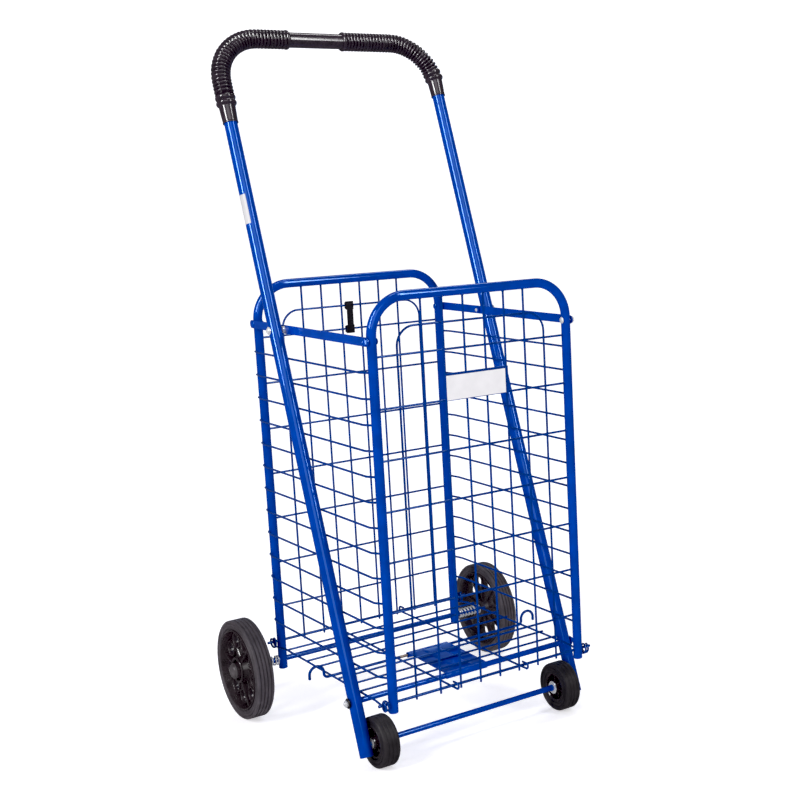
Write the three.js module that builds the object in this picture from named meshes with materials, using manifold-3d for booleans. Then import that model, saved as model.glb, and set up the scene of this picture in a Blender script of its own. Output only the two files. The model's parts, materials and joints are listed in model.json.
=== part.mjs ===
// Rolling basket trolley: a folding wire basket between two tube frames, carried on two
// large rear wheels and on a diagonal handle frame with two small front wheels.
// Units are millimetres. +X is the trolley's right, +Y its rear, +Z up.
// The origin is on the floor, under the rear basket frame. The last lines move the whole
// trolley so that the origin is under the middle of its bounding box.
import * as THREE from 'three';
import { mergeVertices } from 'three/addons/utils/BufferGeometryUtils.js';
import Module from 'manifold-3d';

const wasm = await Module();
wasm.setup();

// ---- Driving dimensions ----

const GAP = 0.3; // running gap between neighbouring solids

const basket = { halfWidth: 152, depth: 340, top: 638, cornerRadius: 50 };
const frameTube = { radius: 6.5, wall: 1.2, sides: 8 };
const rearFoot = 60; // height of the rear frame's lower ends
const frontFoot = 90; // height of the front frame's lower ends

const wire = { radius: 1.5, sides: 5 };
const floorLevel = 103.5; // height of the two bottom wires that the floor hangs on
const bottomWireRadius = 2;
const columns = { count: 6, pitch: 32 }; // straight verticals of a panel
const loopWire = { halfWidth: 115, top: 598, cornerRadius: 26 };
const rows = { count: 7, top: 562.3, pitch: 67.6 }; // horizontals of a panel

const sideWire = { count: 13, top: 543.2, pitch: 33.8, bend: 4, swing: 16, tail: 6 };
const strap = { height: 583, width: 12, thickness: 1.8, overhang: 9 };

const handle = { halfWidth: 174.5, radius: 9.25, wall: 1.5, sides: 10 };
const handlePivot = 106.7; // distance of the handle pivot in front of the rear frame
const crossbar = { setback: 275, height: 92, radius: 4 };
const gripHeight = 988.5;
const handleFoot = 21;
const handleCorner = 66;

const rearWheel = { radius: 74, width: 26, x: 212, bore: 4.3 };
const frontWheel = { radius: 35.5, width: 24, x: 150.5, bore: 4.3 };
const axleRadius = 4;

const rod = { setback: 172, drop: 7.7, radius: 2 }; // hooked rod, below the floor wires
const plate = { halfWidth: 34, thickness: 1.2, slack: 1 }; // slack is left round the rod

// ---- Values derived from them ----

const lean = Math.atan2(crossbar.setback - handlePivot, strap.height - crossbar.height);
const handleY = (z) => -handlePivot + (z - strap.height) * Math.tan(lean);
const frontAxle = { y: handleY(frontWheel.radius), z: frontWheel.radius };
const frontY = -basket.depth;
const tubeFace = basket.halfWidth + frameTube.radius;
const handleInner = handle.halfWidth - handle.radius;
const handleOuter = handle.halfWidth + handle.radius;
const strapInner = tubeFace + GAP;
const strapOuter = strapInner + strap.thickness;
const sideHeights = Array.from({ length: sideWire.count }, (_, i) => sideWire.top - i * sideWire.pitch);

// ---- Materials ----

const finish = (color, roughness, metalness) =>
  new THREE.MeshStandardMaterial({ color, roughness, metalness });
const bluePaint = finish(0x0a49c4, 0.22, 0.1);
const zinc = finish(0xb9bcc2, 0.3, 0.9);
const blackPlastic = finish(0x17151a, 0.35, 0);
const tyreRubber = finish(0x35313a, 0.75, 0);
const whitePlate = finish(0xf2f2f0, 0.5, 0);

// ---- Geometry helpers ----

// Merge shared corners, drop zero triangles and turn the faces outwards.
function closed(geometry) {
  const bare = geometry.index ? geometry.toNonIndexed() : geometry.clone();
  bare.deleteAttribute('normal');
  bare.deleteAttribute('uv');
  const merged = mergeVertices(bare, 1e-3);
  const corner = merged.attributes.position;
  const source = merged.index.array;
  const faces = [];
  const a = new THREE.Vector3();
  const b = new THREE.Vector3();
  const c = new THREE.Vector3();
  let volume = 0;
  for (let i = 0; i < source.length; i += 3) {
    const [p, q, r] = [source[i], source[i + 1], source[i + 2]];
    if (p === q || q === r || r === p) continue;
    faces.push([p, q, r]);
    a.fromBufferAttribute(corner, p);
    b.fromBufferAttribute(corner, q);
    c.fromBufferAttribute(corner, r);
    volume += a.dot(b.cross(c));
  }
  const ordered = volume < 0 ? faces.map(([p, q, r]) => [p, r, q]) : faces;
  merged.setIndex(ordered.flat());
  return merged;
}

function toManifold(geometry) {
  const solid = closed(geometry);
  return new wasm.Manifold(
    new wasm.Mesh({
      numProp: 3,
      vertProperties: new Float32Array(solid.attributes.position.array),
      triVerts: new Uint32Array(solid.index.array),
    }),
  );
}

function fromManifold(manifold) {
  const mesh = manifold.getMesh();
  const geometry = new THREE.BufferGeometry();
  geometry.setAttribute('position', new THREE.BufferAttribute(new Float32Array(mesh.vertProperties), 3));
  geometry.setIndex(new THREE.BufferAttribute(new Uint32Array(mesh.triVerts), 1));
  return geometry;
}

function join(geometries) {
  return fromManifold(geometries.map(toManifold).reduce((whole, piece) => whole.add(piece)));
}

function cut(geometry, tools) {
  const whole = toManifold(geometry);
  return fromManifold(tools.map(toManifold).reduce((rest, tool) => rest.subtract(tool), whole));
}

// A route through given points, for sweeping a section with one step per point.
class Route extends THREE.Curve {
  constructor(points) {
    super();
    this.points = points;
  }
  getPoint(t, target = new THREE.Vector3()) {
    const place = t * (this.points.length - 1);
    const i = Math.min(Math.floor(place), this.points.length - 2);
    return target.lerpVectors(this.points[i], this.points[i + 1], place - i);
  }
  getPointAt(u, target) {
    return this.getPoint(u, target);
  }
  getTangentAt(u, target = new THREE.Vector3()) {
    const last = this.points.length - 1;
    const i = Math.round(u * last);
    const before = this.points[Math.max(i - 1, 0)];
    const here = this.points[i];
    const after = this.points[Math.min(i + 1, last)];
    const arriving = here.clone().sub(before).normalize();
    const leaving = after.clone().sub(here).normalize();
    return target.copy(arriving).add(leaving).normalize();
  }
}

// Round every inner corner of a polyline.
function rounded(corners, radius, steps = 4) {
  const points = [corners[0]];
  for (let i = 1; i < corners.length - 1; i++) {
    const here = corners[i];
    const back = corners[i - 1].clone().sub(here).normalize();
    const ahead = corners[i + 1].clone().sub(here).normalize();
    const half = back.angleTo(ahead) / 2;
    const reach = radius / Math.tan(half);
    const inwards = back.clone().add(ahead).normalize();
    const centre = here.clone().addScaledVector(inwards, radius / Math.sin(half));
    const start = here.clone().addScaledVector(back, reach);
    const fromCentre = start.clone().sub(centre);
    const axis = back.clone().cross(ahead).normalize();
    const turn = Math.PI - 2 * half;
    for (let k = 0; k <= steps; k++) {
      points.push(centre.clone().add(fromCentre.clone().applyAxisAngle(axis, (-turn * k) / steps)));
    }
  }
  points.push(corners[corners.length - 1]);
  return points;
}

function polygon(radius, sides) {
  const shape = new THREE.Shape();
  for (let i = 0; i < sides; i++) {
    const angle = ((i + 0.5) * 2 * Math.PI) / sides;
    const x = radius * Math.cos(angle);
    const y = radius * Math.sin(angle);
    if (i === 0) shape.moveTo(x, y);
    else shape.lineTo(x, y);
  }
  shape.closePath();
  return shape;
}

function sweep(points, shape) {
  return new THREE.ExtrudeGeometry(shape, {
    steps: points.length - 1,
    extrudePath: new Route(points),
    bevelEnabled: false,
  });
}

const bar = (points, radius, sides = wire.sides) => sweep(points, polygon(radius, sides));

// A tube whose flats, not its edges, lie at the given radii.
function pipe(points, outer, inner, sides) {
  const edge = 1 / Math.cos(Math.PI / sides);
  const shape = polygon(outer * edge, sides);
  shape.holes.push(polygon(inner * edge, sides));
  return sweep(points, shape);
}

// Turn a profile of [radius, x] pairs round the X axis.
function turned(profile, segments) {
  const points = profile.map(([radius, x]) => new THREE.Vector2(radius, x));
  const geometry = new THREE.LatheGeometry(points, segments);
  geometry.rotateY(Math.PI / segments);
  return geometry.rotateZ(-Math.PI / 2);
}

const rodAlongX = (x0, x1, radius, segments = 8) =>
  turned([[0, x0], [radius, x0], [radius, x1], [0, x1]], segments);

// Extrude an outline drawn in the Y-Z plane along X.
function slab(shape, x0, x1, curveSegments = 6) {
  const geometry = new THREE.ExtrudeGeometry(shape, { depth: x1 - x0, bevelEnabled: false, curveSegments });
  const yzx = new THREE.Matrix4().makeBasis(
    new THREE.Vector3(0, 1, 0),
    new THREE.Vector3(0, 0, 1),
    new THREE.Vector3(1, 0, 0),
  );
  return geometry.applyMatrix4(yzx).translate(x0, 0, 0);
}

const v = (x, y, z) => new THREE.Vector3(x, y, z);

// ---- Assembly bookkeeping ----

const trolley = new THREE.Group();

function add(name, geometry, material, [x, y, z] = [0, 0, 0]) {
  const mesh = new THREE.Mesh(closed(geometry), material);
  mesh.name = name;
  mesh.position.set(x, y, z);
  trolley.add(mesh);
  return mesh;
}

// Build a piece once and place it on both sides. make(side) gets -1 for left, +1 for right.
function addPair(name, make, material) {
  for (const [side, word] of [[-1, 'left'], [1, 'right']]) {
    add(`${name}_${word}`, make(side), material);
  }
}

// Mirror a solid made for the right-hand side.
function forSide(geometry, side) {
  return side > 0 ? geometry : geometry.scale(-1, 1, 1);
}

// ---- Basket frames ----

function archPoints(y, foot) {
  const h = basket.halfWidth;
  const corners = [v(-h, y, foot), v(-h, y, basket.top), v(h, y, basket.top), v(h, y, foot)];
  return rounded(corners, basket.cornerRadius, 5);
}

// Radius of a faceted hole that clears a round pin by the running gap.
const clearHole = (pin, segments) => (pin + GAP) / Math.cos(Math.PI / segments);

// Holes through both walls of both legs, for a pin along X.
const throughHole = (y, z, pin) => rodAlongX(-200, 200, clearHole(pin, 8), 8).translate(0, y, z);

// Holes through the inner walls of the handle legs only.
function innerHoles(y, z, pin) {
  const hole = rodAlongX(handleInner - 2, handle.halfWidth, clearHole(pin, 8), 8).translate(0, y, z);
  return [hole, hole.clone().scale(-1, 1, 1)];
}

// Holes through the outer walls of the basket legs only.
function outerHoles(y, z, pin) {
  const hole = rodAlongX(basket.halfWidth + 2, tubeFace + 2, clearHole(pin, 6), 6).translate(0, y, z);
  return [hole, hole.clone().scale(-1, 1, 1)];
}

function frameTubeSolid(y, foot, holes) {
  const { radius, wall, sides } = frameTube;
  return cut(pipe(archPoints(y, foot), radius, radius - wall, sides), holes);
}

const pinRadius = 2.5;

add(
  'rear_frame_tube',
  frameTubeSolid(0, rearFoot, [
    throughHole(0, rearWheel.radius, axleRadius),
    throughHole(0, floorLevel, bottomWireRadius),
    throughHole(0, strap.height, pinRadius),
  ]),
  bluePaint,
);

add(
  'front_frame_tube',
  frameTubeSolid(frontY, frontFoot, [
    throughHole(frontY, floorLevel, bottomWireRadius),
    throughHole(frontY, strap.height, pinRadius),
    ...sideHeights.flatMap((z) => outerHoles(frontY, z, wire.radius)),
  ]),
  bluePaint,
);

// ---- Wire panels ----

const layerStep = 1.4 * wire.radius; // crossing wires are welded into each other

// outside is +1 where the verticals lie behind the rows, -1 where they lie in front.
function panel(y, outside) {
  const layer = outside * layerStep;
  const end = basket.halfWidth - frameTube.radius - GAP;
  const low = floorLevel - 6;
  const high = basket.top - frameTube.radius - GAP;
  const stub = tubeFace + 13;
  const wires = [bar([v(-stub, y, floorLevel), v(stub, y, floorLevel)], bottomWireRadius)];
  for (let i = 0; i < rows.count; i++) {
    const z = rows.top - i * rows.pitch;
    wires.push(bar([v(-end, y, z), v(end, y, z)], wire.radius));
  }
  for (let i = 0; i < columns.count; i++) {
    const x = (i - (columns.count - 1) / 2) * columns.pitch;
    wires.push(bar([v(x, y + layer, low), v(x, y + layer, high)], wire.radius));
  }
  const w = loopWire.halfWidth;
  const loopY = y - layer;
  const loop = [v(-w, loopY, low), v(-w, loopY, loopWire.top), v(w, loopY, loopWire.top), v(w, loopY, low)];
  wires.push(bar(rounded(loop, loopWire.cornerRadius, 4), wire.radius));
  return join(wires);
}

add('rear_wire_panel', panel(0, 1), bluePaint);
add('front_wire_panel', panel(frontY, -1), bluePaint);

// ---- Side wires: hinged in the front tube, hooked behind the rear tube ----

const tubeEdge = frameTube.radius / Math.cos(Math.PI / frameTube.sides);
const hookRadius = tubeEdge + wire.radius + GAP;

// The wire runs along the side, clear of the straps, swings in and hugs the rear tube.
function sideWireSolid(z, side) {
  const { bend, swing, tail } = sideWire;
  const offset = strapOuter + wire.radius + 2 * GAP;
  const front = [v(basket.halfWidth + 2, frontY, z), v(offset, frontY, z), v(offset, -swing, z)];
  const wrap = [-10, 22.5, 45, 67.5, 90].map((degrees) => {
    const angle = THREE.MathUtils.degToRad(degrees);
    return v(basket.halfWidth + hookRadius * Math.cos(angle), hookRadius * Math.sin(angle), z);
  });
  const end = v(basket.halfWidth - tail, hookRadius, z);
  return forSide(bar([...rounded(front, bend, 3), ...wrap, end], wire.radius, 5), side);
}

sideHeights.forEach((z, i) => {
  const number = String(i + 1).padStart(2, '0');
  addPair(`side_wire_${number}`, (side) => sideWireSolid(z, side), bluePaint);
});

// ---- Straps and their pins ----

function strapSolid() {
  const end = strap.width / 2;
  const z = strap.height;
  const shape = new THREE.Shape();
  shape.moveTo(frontY, z - end);
  shape.lineTo(strap.overhang - end, z - end);
  shape.absarc(strap.overhang - end, z, end, -Math.PI / 2, Math.PI / 2);
  shape.lineTo(frontY, z + end);
  shape.absarc(frontY, z, end, Math.PI / 2, (3 * Math.PI) / 2);
  for (const y of [0, -handlePivot, frontY]) {
    shape.holes.push(new THREE.Path().absarc(y, z, pinRadius + 0.4, 0, 2 * Math.PI));
  }
  return slab(shape, strapInner, strapOuter, 5);
}

addPair('strap', (side) => forSide(strapSolid(), side), bluePaint);

// A headed pin through a basket tube and a strap.
function tubePin(outerHead, outerLength) {
  const inside = basket.halfWidth - frameTube.radius - GAP;
  const outside = strapOuter + GAP;
  return turned(
    [
      [0, inside - 1.8], [3.2, inside - 1.8], [4.5, inside - 0.8], [4.5, inside],
      [pinRadius, inside], [pinRadius, outside], [outerHead, outside],
      [outerHead, outside + outerLength], [0, outside + outerLength],
    ],
    8,
  );
}

addPair('strap_rivet', (side) => forSide(tubePin(4.5, 1.6).translate(0, 0, strap.height), side), zinc);
addPair('strap_bolt', (side) => forSide(tubePin(5, 4.2).translate(0, frontY, strap.height), side), zinc);

// ---- Handle frame ----

const handleTop = v(handle.halfWidth, handleY(gripHeight), gripHeight);
const handleLow = v(handle.halfWidth, handleY(handleFoot), handleFoot);
const mirrored = (p) => v(-p.x, p.y, p.z);
const handleCorners = [mirrored(handleLow), mirrored(handleTop), handleTop, handleLow];
const handlePoints = rounded(handleCorners, handleCorner, 5);

add(
  'handle_tube',
  cut(pipe(handlePoints, handle.radius, handle.radius - handle.wall, handle.sides), [
    throughHole(-handlePivot, strap.height, pinRadius),
    throughHole(-crossbar.setback, crossbar.height, crossbar.radius),
    ...innerHoles(frontAxle.y, frontAxle.z, axleRadius),
  ]),
  bluePaint,
);

// The handle's centre line from the middle of the grip down one leg, as [distance, point] pairs.
function halfHandle(side) {
  const middle = handlePoints.length / 2;
  const half = side > 0 ? handlePoints.slice(middle) : handlePoints.slice(0, middle).reverse();
  const points = [v(0, handleTop.y, handleTop.z), ...half];
  let distance = 0;
  return points.map((point, i) => {
    if (i > 0) distance += point.distanceTo(points[i - 1]);
    return [distance, point];
  });
}

// The stretch of that line between two distances.
function handleStretch(side, from, to) {
  const line = halfHandle(side);
  const at = (distance) => {
    const i = line.findIndex(([d]) => d >= distance);
    const [d0, p0] = line[i - 1];
    const [d1, p1] = line[i];
    return p0.clone().lerp(p1, (distance - d0) / (d1 - d0));
  };
  const inner = line.filter(([d]) => d > from + 0.5 && d < to - 0.5).map(([, point]) => point);
  return [at(from), ...inner, at(to)];
}

// Distance along that line of a height on the straight part of a leg.
function distanceAt(side, z) {
  const line = halfHandle(side);
  const [d, p] = line[line.length - 2];
  return d + (p.z - z) / Math.cos(lean);
}

const onTop = (x) => v(x, handleTop.y, handleTop.z);
const sleeve = { inner: handle.radius + 0.85, body: 13, cuff: 11.4, collar: 14.2, shift: -17, half: 42.5 };
const sleeveEnds = { left: sleeve.shift - sleeve.half, right: sleeve.shift + sleeve.half };
const cuffEnd = { left: 867.5, right: 907.5 };
const cuffLength = 24;

function gripSleeve(side, collarX, cuffZ) {
  const start = Math.abs(collarX);
  const end = distanceAt(side, cuffZ);
  const ringAt = end - cuffLength;
  const tube = (from, to, radius, bore) => pipe(handleStretch(side, from, to), radius, bore, handle.sides);
  return join([
    tube(start + 1, ringAt - 1, sleeve.body, sleeve.inner),
    tube(start, start + 5, sleeve.collar, sleeve.inner + 1),
    tube(ringAt - 2, end, sleeve.cuff, sleeve.inner - 0.1),
    tube(ringAt - 7, ringAt, sleeve.collar, sleeve.inner + 1),
  ]);
}

add('grip_left', gripSleeve(-1, sleeveEnds.left, cuffEnd.left), blackPlastic);
add('grip_right', gripSleeve(1, sleeveEnds.right, cuffEnd.right), blackPlastic);
add(
  'grip_centre',
  pipe([onTop(sleeveEnds.left + GAP), onTop(sleeveEnds.right - GAP)], 11.2, sleeve.inner, handle.sides),
  blackPlastic,
);

// Bolt through a strap and a handle leg, with a shoulder that spaces the two.
function handleBolt() {
  return turned(
    [
      [0, strapInner - GAP - 2.8], [5, strapInner - GAP - 2.8], [5, strapInner - GAP],
      [pinRadius, strapInner - GAP], [pinRadius, strapOuter + GAP], [4.2, strapOuter + GAP],
      [4.2, handleInner - GAP], [pinRadius, handleInner - GAP], [pinRadius, handleOuter + GAP],
      [6, handleOuter + GAP], [6, handleOuter + 2.4], [4, handleOuter + 3.6], [0, handleOuter + 3.6],
    ],
    8,
  ).translate(0, -handlePivot, strap.height);
}

addPair('handle_bolt', (side) => forSide(handleBolt(), side), zinc);

// One half of a bar's profile, mirrored to give the whole bar.
const mirroredProfile = (half) => [...half.map(([r, x]) => [r, -x]).reverse(), ...half];

const nutFace = handleOuter + GAP;
add(
  'front_crossbar',
  turned(
    mirroredProfile([
      [crossbar.radius, nutFace], [7, nutFace], [7, nutFace + 2], [5.6, nutFace + 2],
      [5.6, nutFace + 6], [crossbar.radius, nutFace + 6],
      [crossbar.radius, nutFace + 7.5], [0, nutFace + 7.5],
    ]),
    10,
  ),
  bluePaint,
  [0, -crossbar.setback, crossbar.height],
);

const axleEnd = handle.halfWidth + 4; // inside the bore of the handle leg
const frontHub = { inner: frontWheel.x - frontWheel.width / 2, outer: frontWheel.x + frontWheel.width / 2 };
add(
  'front_axle',
  turned(
    mirroredProfile([
      [axleRadius, frontHub.inner - 3.4], [6.5, frontHub.inner - 3.4], [6.5, frontHub.inner - GAP],
      [axleRadius, frontHub.inner - GAP], [axleRadius, frontHub.outer + GAP], [6.5, frontHub.outer + GAP],
      [6.5, handleInner - GAP], [axleRadius, handleInner - GAP], [axleRadius, axleEnd], [0, axleEnd],
    ]),
    10,
  ),
  bluePaint,
  [0, frontAxle.y, frontAxle.z],
);

// ---- Floor: long wires with eyes at both ends, cross wires laid on them ----

const eyeRadius = bottomWireRadius + 0.4 + wire.radius;
const longLevel = floorLevel - eyeRadius;
const longWires = [-160.9, -57, 57, 160.9];
const crossSetbacks = [44, 76, 108, 140, 204, 236, 268];

// The wire runs under a bottom wire and curls over it. direction is -1 at the front end.
function eye(x, y, direction) {
  const points = [];
  const turns = 6;
  for (let k = 0; k <= turns; k++) {
    const angle = -Math.PI / 2 + (direction * 1.55 * Math.PI * k) / turns;
    points.push(v(x, y + eyeRadius * Math.cos(angle), floorLevel + eyeRadius * Math.sin(angle)));
  }
  return points;
}

function longWire(x) {
  const front = eye(x, frontY, -1).reverse();
  const rear = eye(x, 0, 1);
  return bar([...front, ...rear], wire.radius);
}

function crossWire(setback) {
  const z = longLevel + layerStep;
  const end = longWires[3] + 3;
  return bar([v(-end, -setback, z), v(end, -setback, z)], wire.radius);
}

add('floor_grid', join([...longWires.map(longWire), ...crossSetbacks.map(crossWire)]), bluePaint);

// Rod under the floor wires. Its ends stand up outside the floor and hook over outwards.
const rodLevel = floorLevel - rod.drop;

function hookedRod() {
  const y = -rod.setback;
  const near = 168;
  const far = 190;
  const crest = rodLevel + 19;
  const right = [v(near, y, rodLevel), v(near, y, crest), v(far, y, crest), v(far, y, rodLevel + 2)];
  const left = right.map(mirrored).reverse();
  return bar(rounded([...left, ...right], 6, 3), rod.radius, 6);
}

add('hooked_rod', hookedRod(), bluePaint);

// ---- Link plate: rolled round the rod, laid over the crossbar and turned down in front ----

function linkPlateSolid() {
  const t = plate.thickness;
  const y0 = -rod.setback;
  const y1 = -crossbar.setback;
  const bore = rod.radius + plate.slack;
  const ring = bore + t;
  const inner = crossbar.radius + 0.4;
  const outer = inner + t;
  const under = Math.PI - Math.asin((ring - t) / ring);
  const shape = new THREE.Shape();
  shape.moveTo(y0, rodLevel + ring);
  shape.lineTo(y1, crossbar.height + outer);
  shape.absarc(y1, crossbar.height, outer, Math.PI / 2, Math.PI);
  shape.lineTo(y1 - outer, crossbar.height - 3);
  shape.lineTo(y1 - inner, crossbar.height - 3);
  shape.absarc(y1, crossbar.height, inner, Math.PI, Math.PI / 2, true);
  shape.lineTo(y0 + ring * Math.cos(under), rodLevel + ring * Math.sin(under));
  shape.absarc(y0, rodLevel, ring, under, 2 * Math.PI + Math.PI / 2);
  shape.holes.push(new THREE.Path().absarc(y0, rodLevel, bore, 0, 2 * Math.PI));
  return slab(shape, -plate.halfWidth, plate.halfWidth, 6);
}

add('link_plate', linkPlateSolid(), bluePaint);

// ---- Rear axle, springs and wheels ----

const rearHub = { inner: rearWheel.x - 11, outer: rearWheel.x + 17 };
add(
  'rear_axle',
  turned(
    mirroredProfile([
      [axleRadius, rearHub.outer + GAP], [7.5, rearHub.outer + GAP], [7.5, rearHub.outer + 1.3],
      [axleRadius, rearHub.outer + 1.3], [axleRadius, rearHub.outer + 2.6], [0, rearHub.outer + 2.6],
    ]),
    10,
  ),
  bluePaint,
  [0, 0, rearWheel.radius],
);

const spring = { turns: 6, stepsPerTurn: 7, coilRadius: 6.6, wireRadius: 1 };

function springSolid() {
  const start = tubeFace + GAP + spring.wireRadius;
  const end = rearHub.inner - GAP - spring.wireRadius;
  const steps = spring.turns * spring.stepsPerTurn;
  const points = [];
  for (let k = 0; k <= steps; k++) {
    const angle = (2 * Math.PI * k) / spring.stepsPerTurn;
    const x = start + ((end - start) * k) / steps;
    const y = spring.coilRadius * Math.cos(angle);
    points.push(v(x, y, rearWheel.radius + spring.coilRadius * Math.sin(angle)));
  }
  return bar(points, spring.wireRadius, 4);
}

addPair('axle_spring', (side) => forSide(springSolid(), side), zinc);

// Tyre of a given radius and width, centred on the origin, with a flat facet at the bottom.
function tyre(radius, width, seat, segments) {
  const w = width / 2;
  const r = radius / Math.cos(Math.PI / segments);
  const profile = [
    [seat, -w + 2], [r - 2, -w], [r, -w + 2.5], [r, w - 2.5], [r - 2, w], [seat, w - 2], [seat, -w + 2],
  ];
  return turned(profile, segments);
}

const rimHoles = { groups: [100, 220, 340], step: 38, reach: 42.5, radius: 8.4 };

// Rear rim: barrel, web with three groups of three round holes, hub and a domed cap over the axle end.
function rearRim() {
  const inner = rearHub.inner - rearWheel.x;
  const outer = rearHub.outer - rearWheel.x;
  const { bore } = rearWheel;
  const body = turned(
    [
      [0, outer + 6], [6, outer + 5.2], [11, outer + 2.5], [14, outer], [14, 2.5], [56, 1.8],
      [56, 10.5], [60, 10.5], [60, -10.5], [56, -10.5], [56, -1.8], [13, -2.5], [13, inner],
      [bore, inner], [bore, outer], [9, outer], [9, outer + 2], [0, outer + 4],
    ],
    18,
  );
  const holes = rimHoles.groups.flatMap((group) =>
    [-1, 0, 1].map((k) => {
      const turn = THREE.MathUtils.degToRad(group + k * rimHoles.step);
      return rodAlongX(-20, 12, rimHoles.radius, 8).translate(0, 0, rimHoles.reach).rotateX(turn);
    }),
  );
  return cut(body, holes);
}

function frontRim() {
  const { bore, width } = frontWheel;
  const w = width / 2;
  return turned(
    [
      [bore, -w], [10, -w], [10, -2.5], [17, -2.5], [17, 2.5 - w], [20.5, 2.5 - w],
      [20.5, w - 2.5], [17, w - 2.5], [17, 2.5], [10, 2.5], [10, w], [bore, w], [bore, -w],
    ],
    12,
  );
}

for (const [side, word] of [[-1, 'left'], [1, 'right']]) {
  const rear = [side * rearWheel.x, 0, rearWheel.radius];
  const front = [side * frontWheel.x, frontAxle.y, frontAxle.z];
  add(`rear_tyre_${word}`, tyre(rearWheel.radius, rearWheel.width, 60.4, 32), tyreRubber, rear);
  add(`rear_rim_${word}`, forSide(rearRim(), side), blackPlastic, rear);
  add(`front_tyre_${word}`, tyre(frontWheel.radius, frontWheel.width, 20.9, 24), tyreRubber, front);
  add(`front_rim_${word}`, frontRim(), blackPlastic, front);
}

// ---- Label plate and panel clip ----

function box(x0, x1, y0, y1, z0, z1) {
  const geometry = new THREE.BoxGeometry(x1 - x0, y1 - y0, z1 - z0);
  return geometry.translate((x0 + x1) / 2, (y0 + y1) / 2, (z0 + z1) / 2);
}

const labelBack = frontY - layerStep - wire.radius - GAP;
add('label_plate', box(-50, 48.5, labelBack - 3, labelBack, 494, 531), whitePlate);

const clip = { left: -13, right: -0.5 };

// A C-shaped clip, open towards the rear, that holds a row and the loop wire of the rear panel.
function clipSolid() {
  const { left, right } = clip;
  const body = box(left, right, -8, 0.2 - 2 * wire.radius, 556, 604);
  const slots = [rows.top, loopWire.top].map((z) => box(left - 2, right + 2, -6.2, 4, z - 2.2, z + 2.2));
  return cut(body, slots);
}

add('panel_clip', clipSolid(), blackPlastic);

// ---- Centre the trolley over the origin ----

trolley.updateMatrixWorld(true);
const bounds = new THREE.Box3().setFromObject(trolley);
trolley.position.set(0, -(bounds.min.y + bounds.max.y) / 2, 0);
trolley.updateMatrixWorld(true);

export default trolley;
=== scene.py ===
import json
import math

import bmesh
import bpy
from mathutils import Matrix, Vector


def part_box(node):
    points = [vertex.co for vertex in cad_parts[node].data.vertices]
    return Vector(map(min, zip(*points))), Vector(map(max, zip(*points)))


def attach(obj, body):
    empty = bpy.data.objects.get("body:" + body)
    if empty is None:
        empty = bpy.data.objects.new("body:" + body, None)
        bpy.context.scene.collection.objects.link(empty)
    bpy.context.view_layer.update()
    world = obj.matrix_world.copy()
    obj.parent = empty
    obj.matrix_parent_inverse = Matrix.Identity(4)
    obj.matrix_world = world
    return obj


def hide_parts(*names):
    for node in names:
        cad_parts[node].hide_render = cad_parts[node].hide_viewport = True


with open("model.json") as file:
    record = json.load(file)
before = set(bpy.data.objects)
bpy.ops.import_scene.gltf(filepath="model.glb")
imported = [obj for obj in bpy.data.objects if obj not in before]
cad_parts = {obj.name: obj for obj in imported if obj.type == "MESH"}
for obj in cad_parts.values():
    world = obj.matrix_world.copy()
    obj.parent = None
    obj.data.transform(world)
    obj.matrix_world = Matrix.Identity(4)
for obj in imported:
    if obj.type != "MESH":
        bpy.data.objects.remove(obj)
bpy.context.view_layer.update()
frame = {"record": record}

# Rolling basket trolley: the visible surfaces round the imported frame.
# Lengths are in metres. +X is the trolley's right, -Y its front, +Z up.

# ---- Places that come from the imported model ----

joint_at = {j["name"]: Vector(j["pos_m"]) for j in frame["record"]["behaviour"]["joints"]}
rear_y = joint_at["strap_fold"].y
front_y = joint_at["front_frame_pivot"].y
strap_z = joint_at["strap_fold"].z
floor_z = joint_at["floor_hinge"].z
rod_at = joint_at["plate_hinge"]
handle_pivot = joint_at["handle_pivot"]
rear_hub = joint_at["rear_wheel_right_spin"]
front_hub = joint_at["front_wheel_right_spin"]
basket_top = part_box("rear_frame_tube")[1].z
handle_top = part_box("handle_tube")[1].z
crossbar_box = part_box("front_crossbar")
crossbar_at = (crossbar_box[0] + crossbar_box[1]) / 2

# ---- Driving dimensions ----

TUBE_R = 0.0065  # basket frames
TUBE_WALL = 0.0012
FRAME_HALF = 0.152
FRAME_CORNER = 0.050
REAR_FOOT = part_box("rear_frame_tube")[0].z
FRONT_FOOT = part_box("front_frame_tube")[0].z
TUBE_FACE = FRAME_HALF + TUBE_R

WIRE_R = 0.0015
BOTTOM_WIRE_R = 0.002
COLUMNS = 6
COLUMN_PITCH = 0.032
LOOP_HALF = 0.115
LOOP_TOP = 0.598
LOOP_CORNER = 0.026
ROWS = 7
ROW_TOP = 0.5623
ROW_PITCH = 0.0676
LAYER = 1.4 * WIRE_R  # crossing wires sink a little into each other

SIDE_BEND = 0.008
SIDE_ENTRY = 0.015  # and turn out this far behind the front tube
SIDE_SWING = 0.016  # the side wires turn in this far before the rear tube
SIDE_TIP_R = 0.0008
STRAP_W = 0.012
STRAP_T = 0.0018
STRAP_OVERHANG = 0.009
STRAP_IN = TUBE_FACE + 0.0003
STRAP_OUT = STRAP_IN + STRAP_T
SIDE_X = STRAP_OUT + WIRE_R + 0.0006

HANDLE_HALF = 0.1745
HANDLE_R = 0.00925
HANDLE_WALL = 0.0015
HANDLE_CORNER = 0.066
HANDLE_FOOT = 0.021
HANDLE_IN = HANDLE_HALF - HANDLE_R
HANDLE_OUT = HANDLE_HALF + HANDLE_R

ROD_R = 0.004  # axles and crossbar
HOOK_ROD_R = 0.002

TYRE_R = 0.074
TYRE_W = 0.026
SMALL_R = 0.0355
SMALL_W = 0.0252

handle_run = front_hub.y - handle_pivot.y
lean = math.atan2(-handle_run, handle_pivot.z - front_hub.z)


def handle_y(z):
    return handle_pivot.y + (z - handle_pivot.z) * math.tan(lean)


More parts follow.
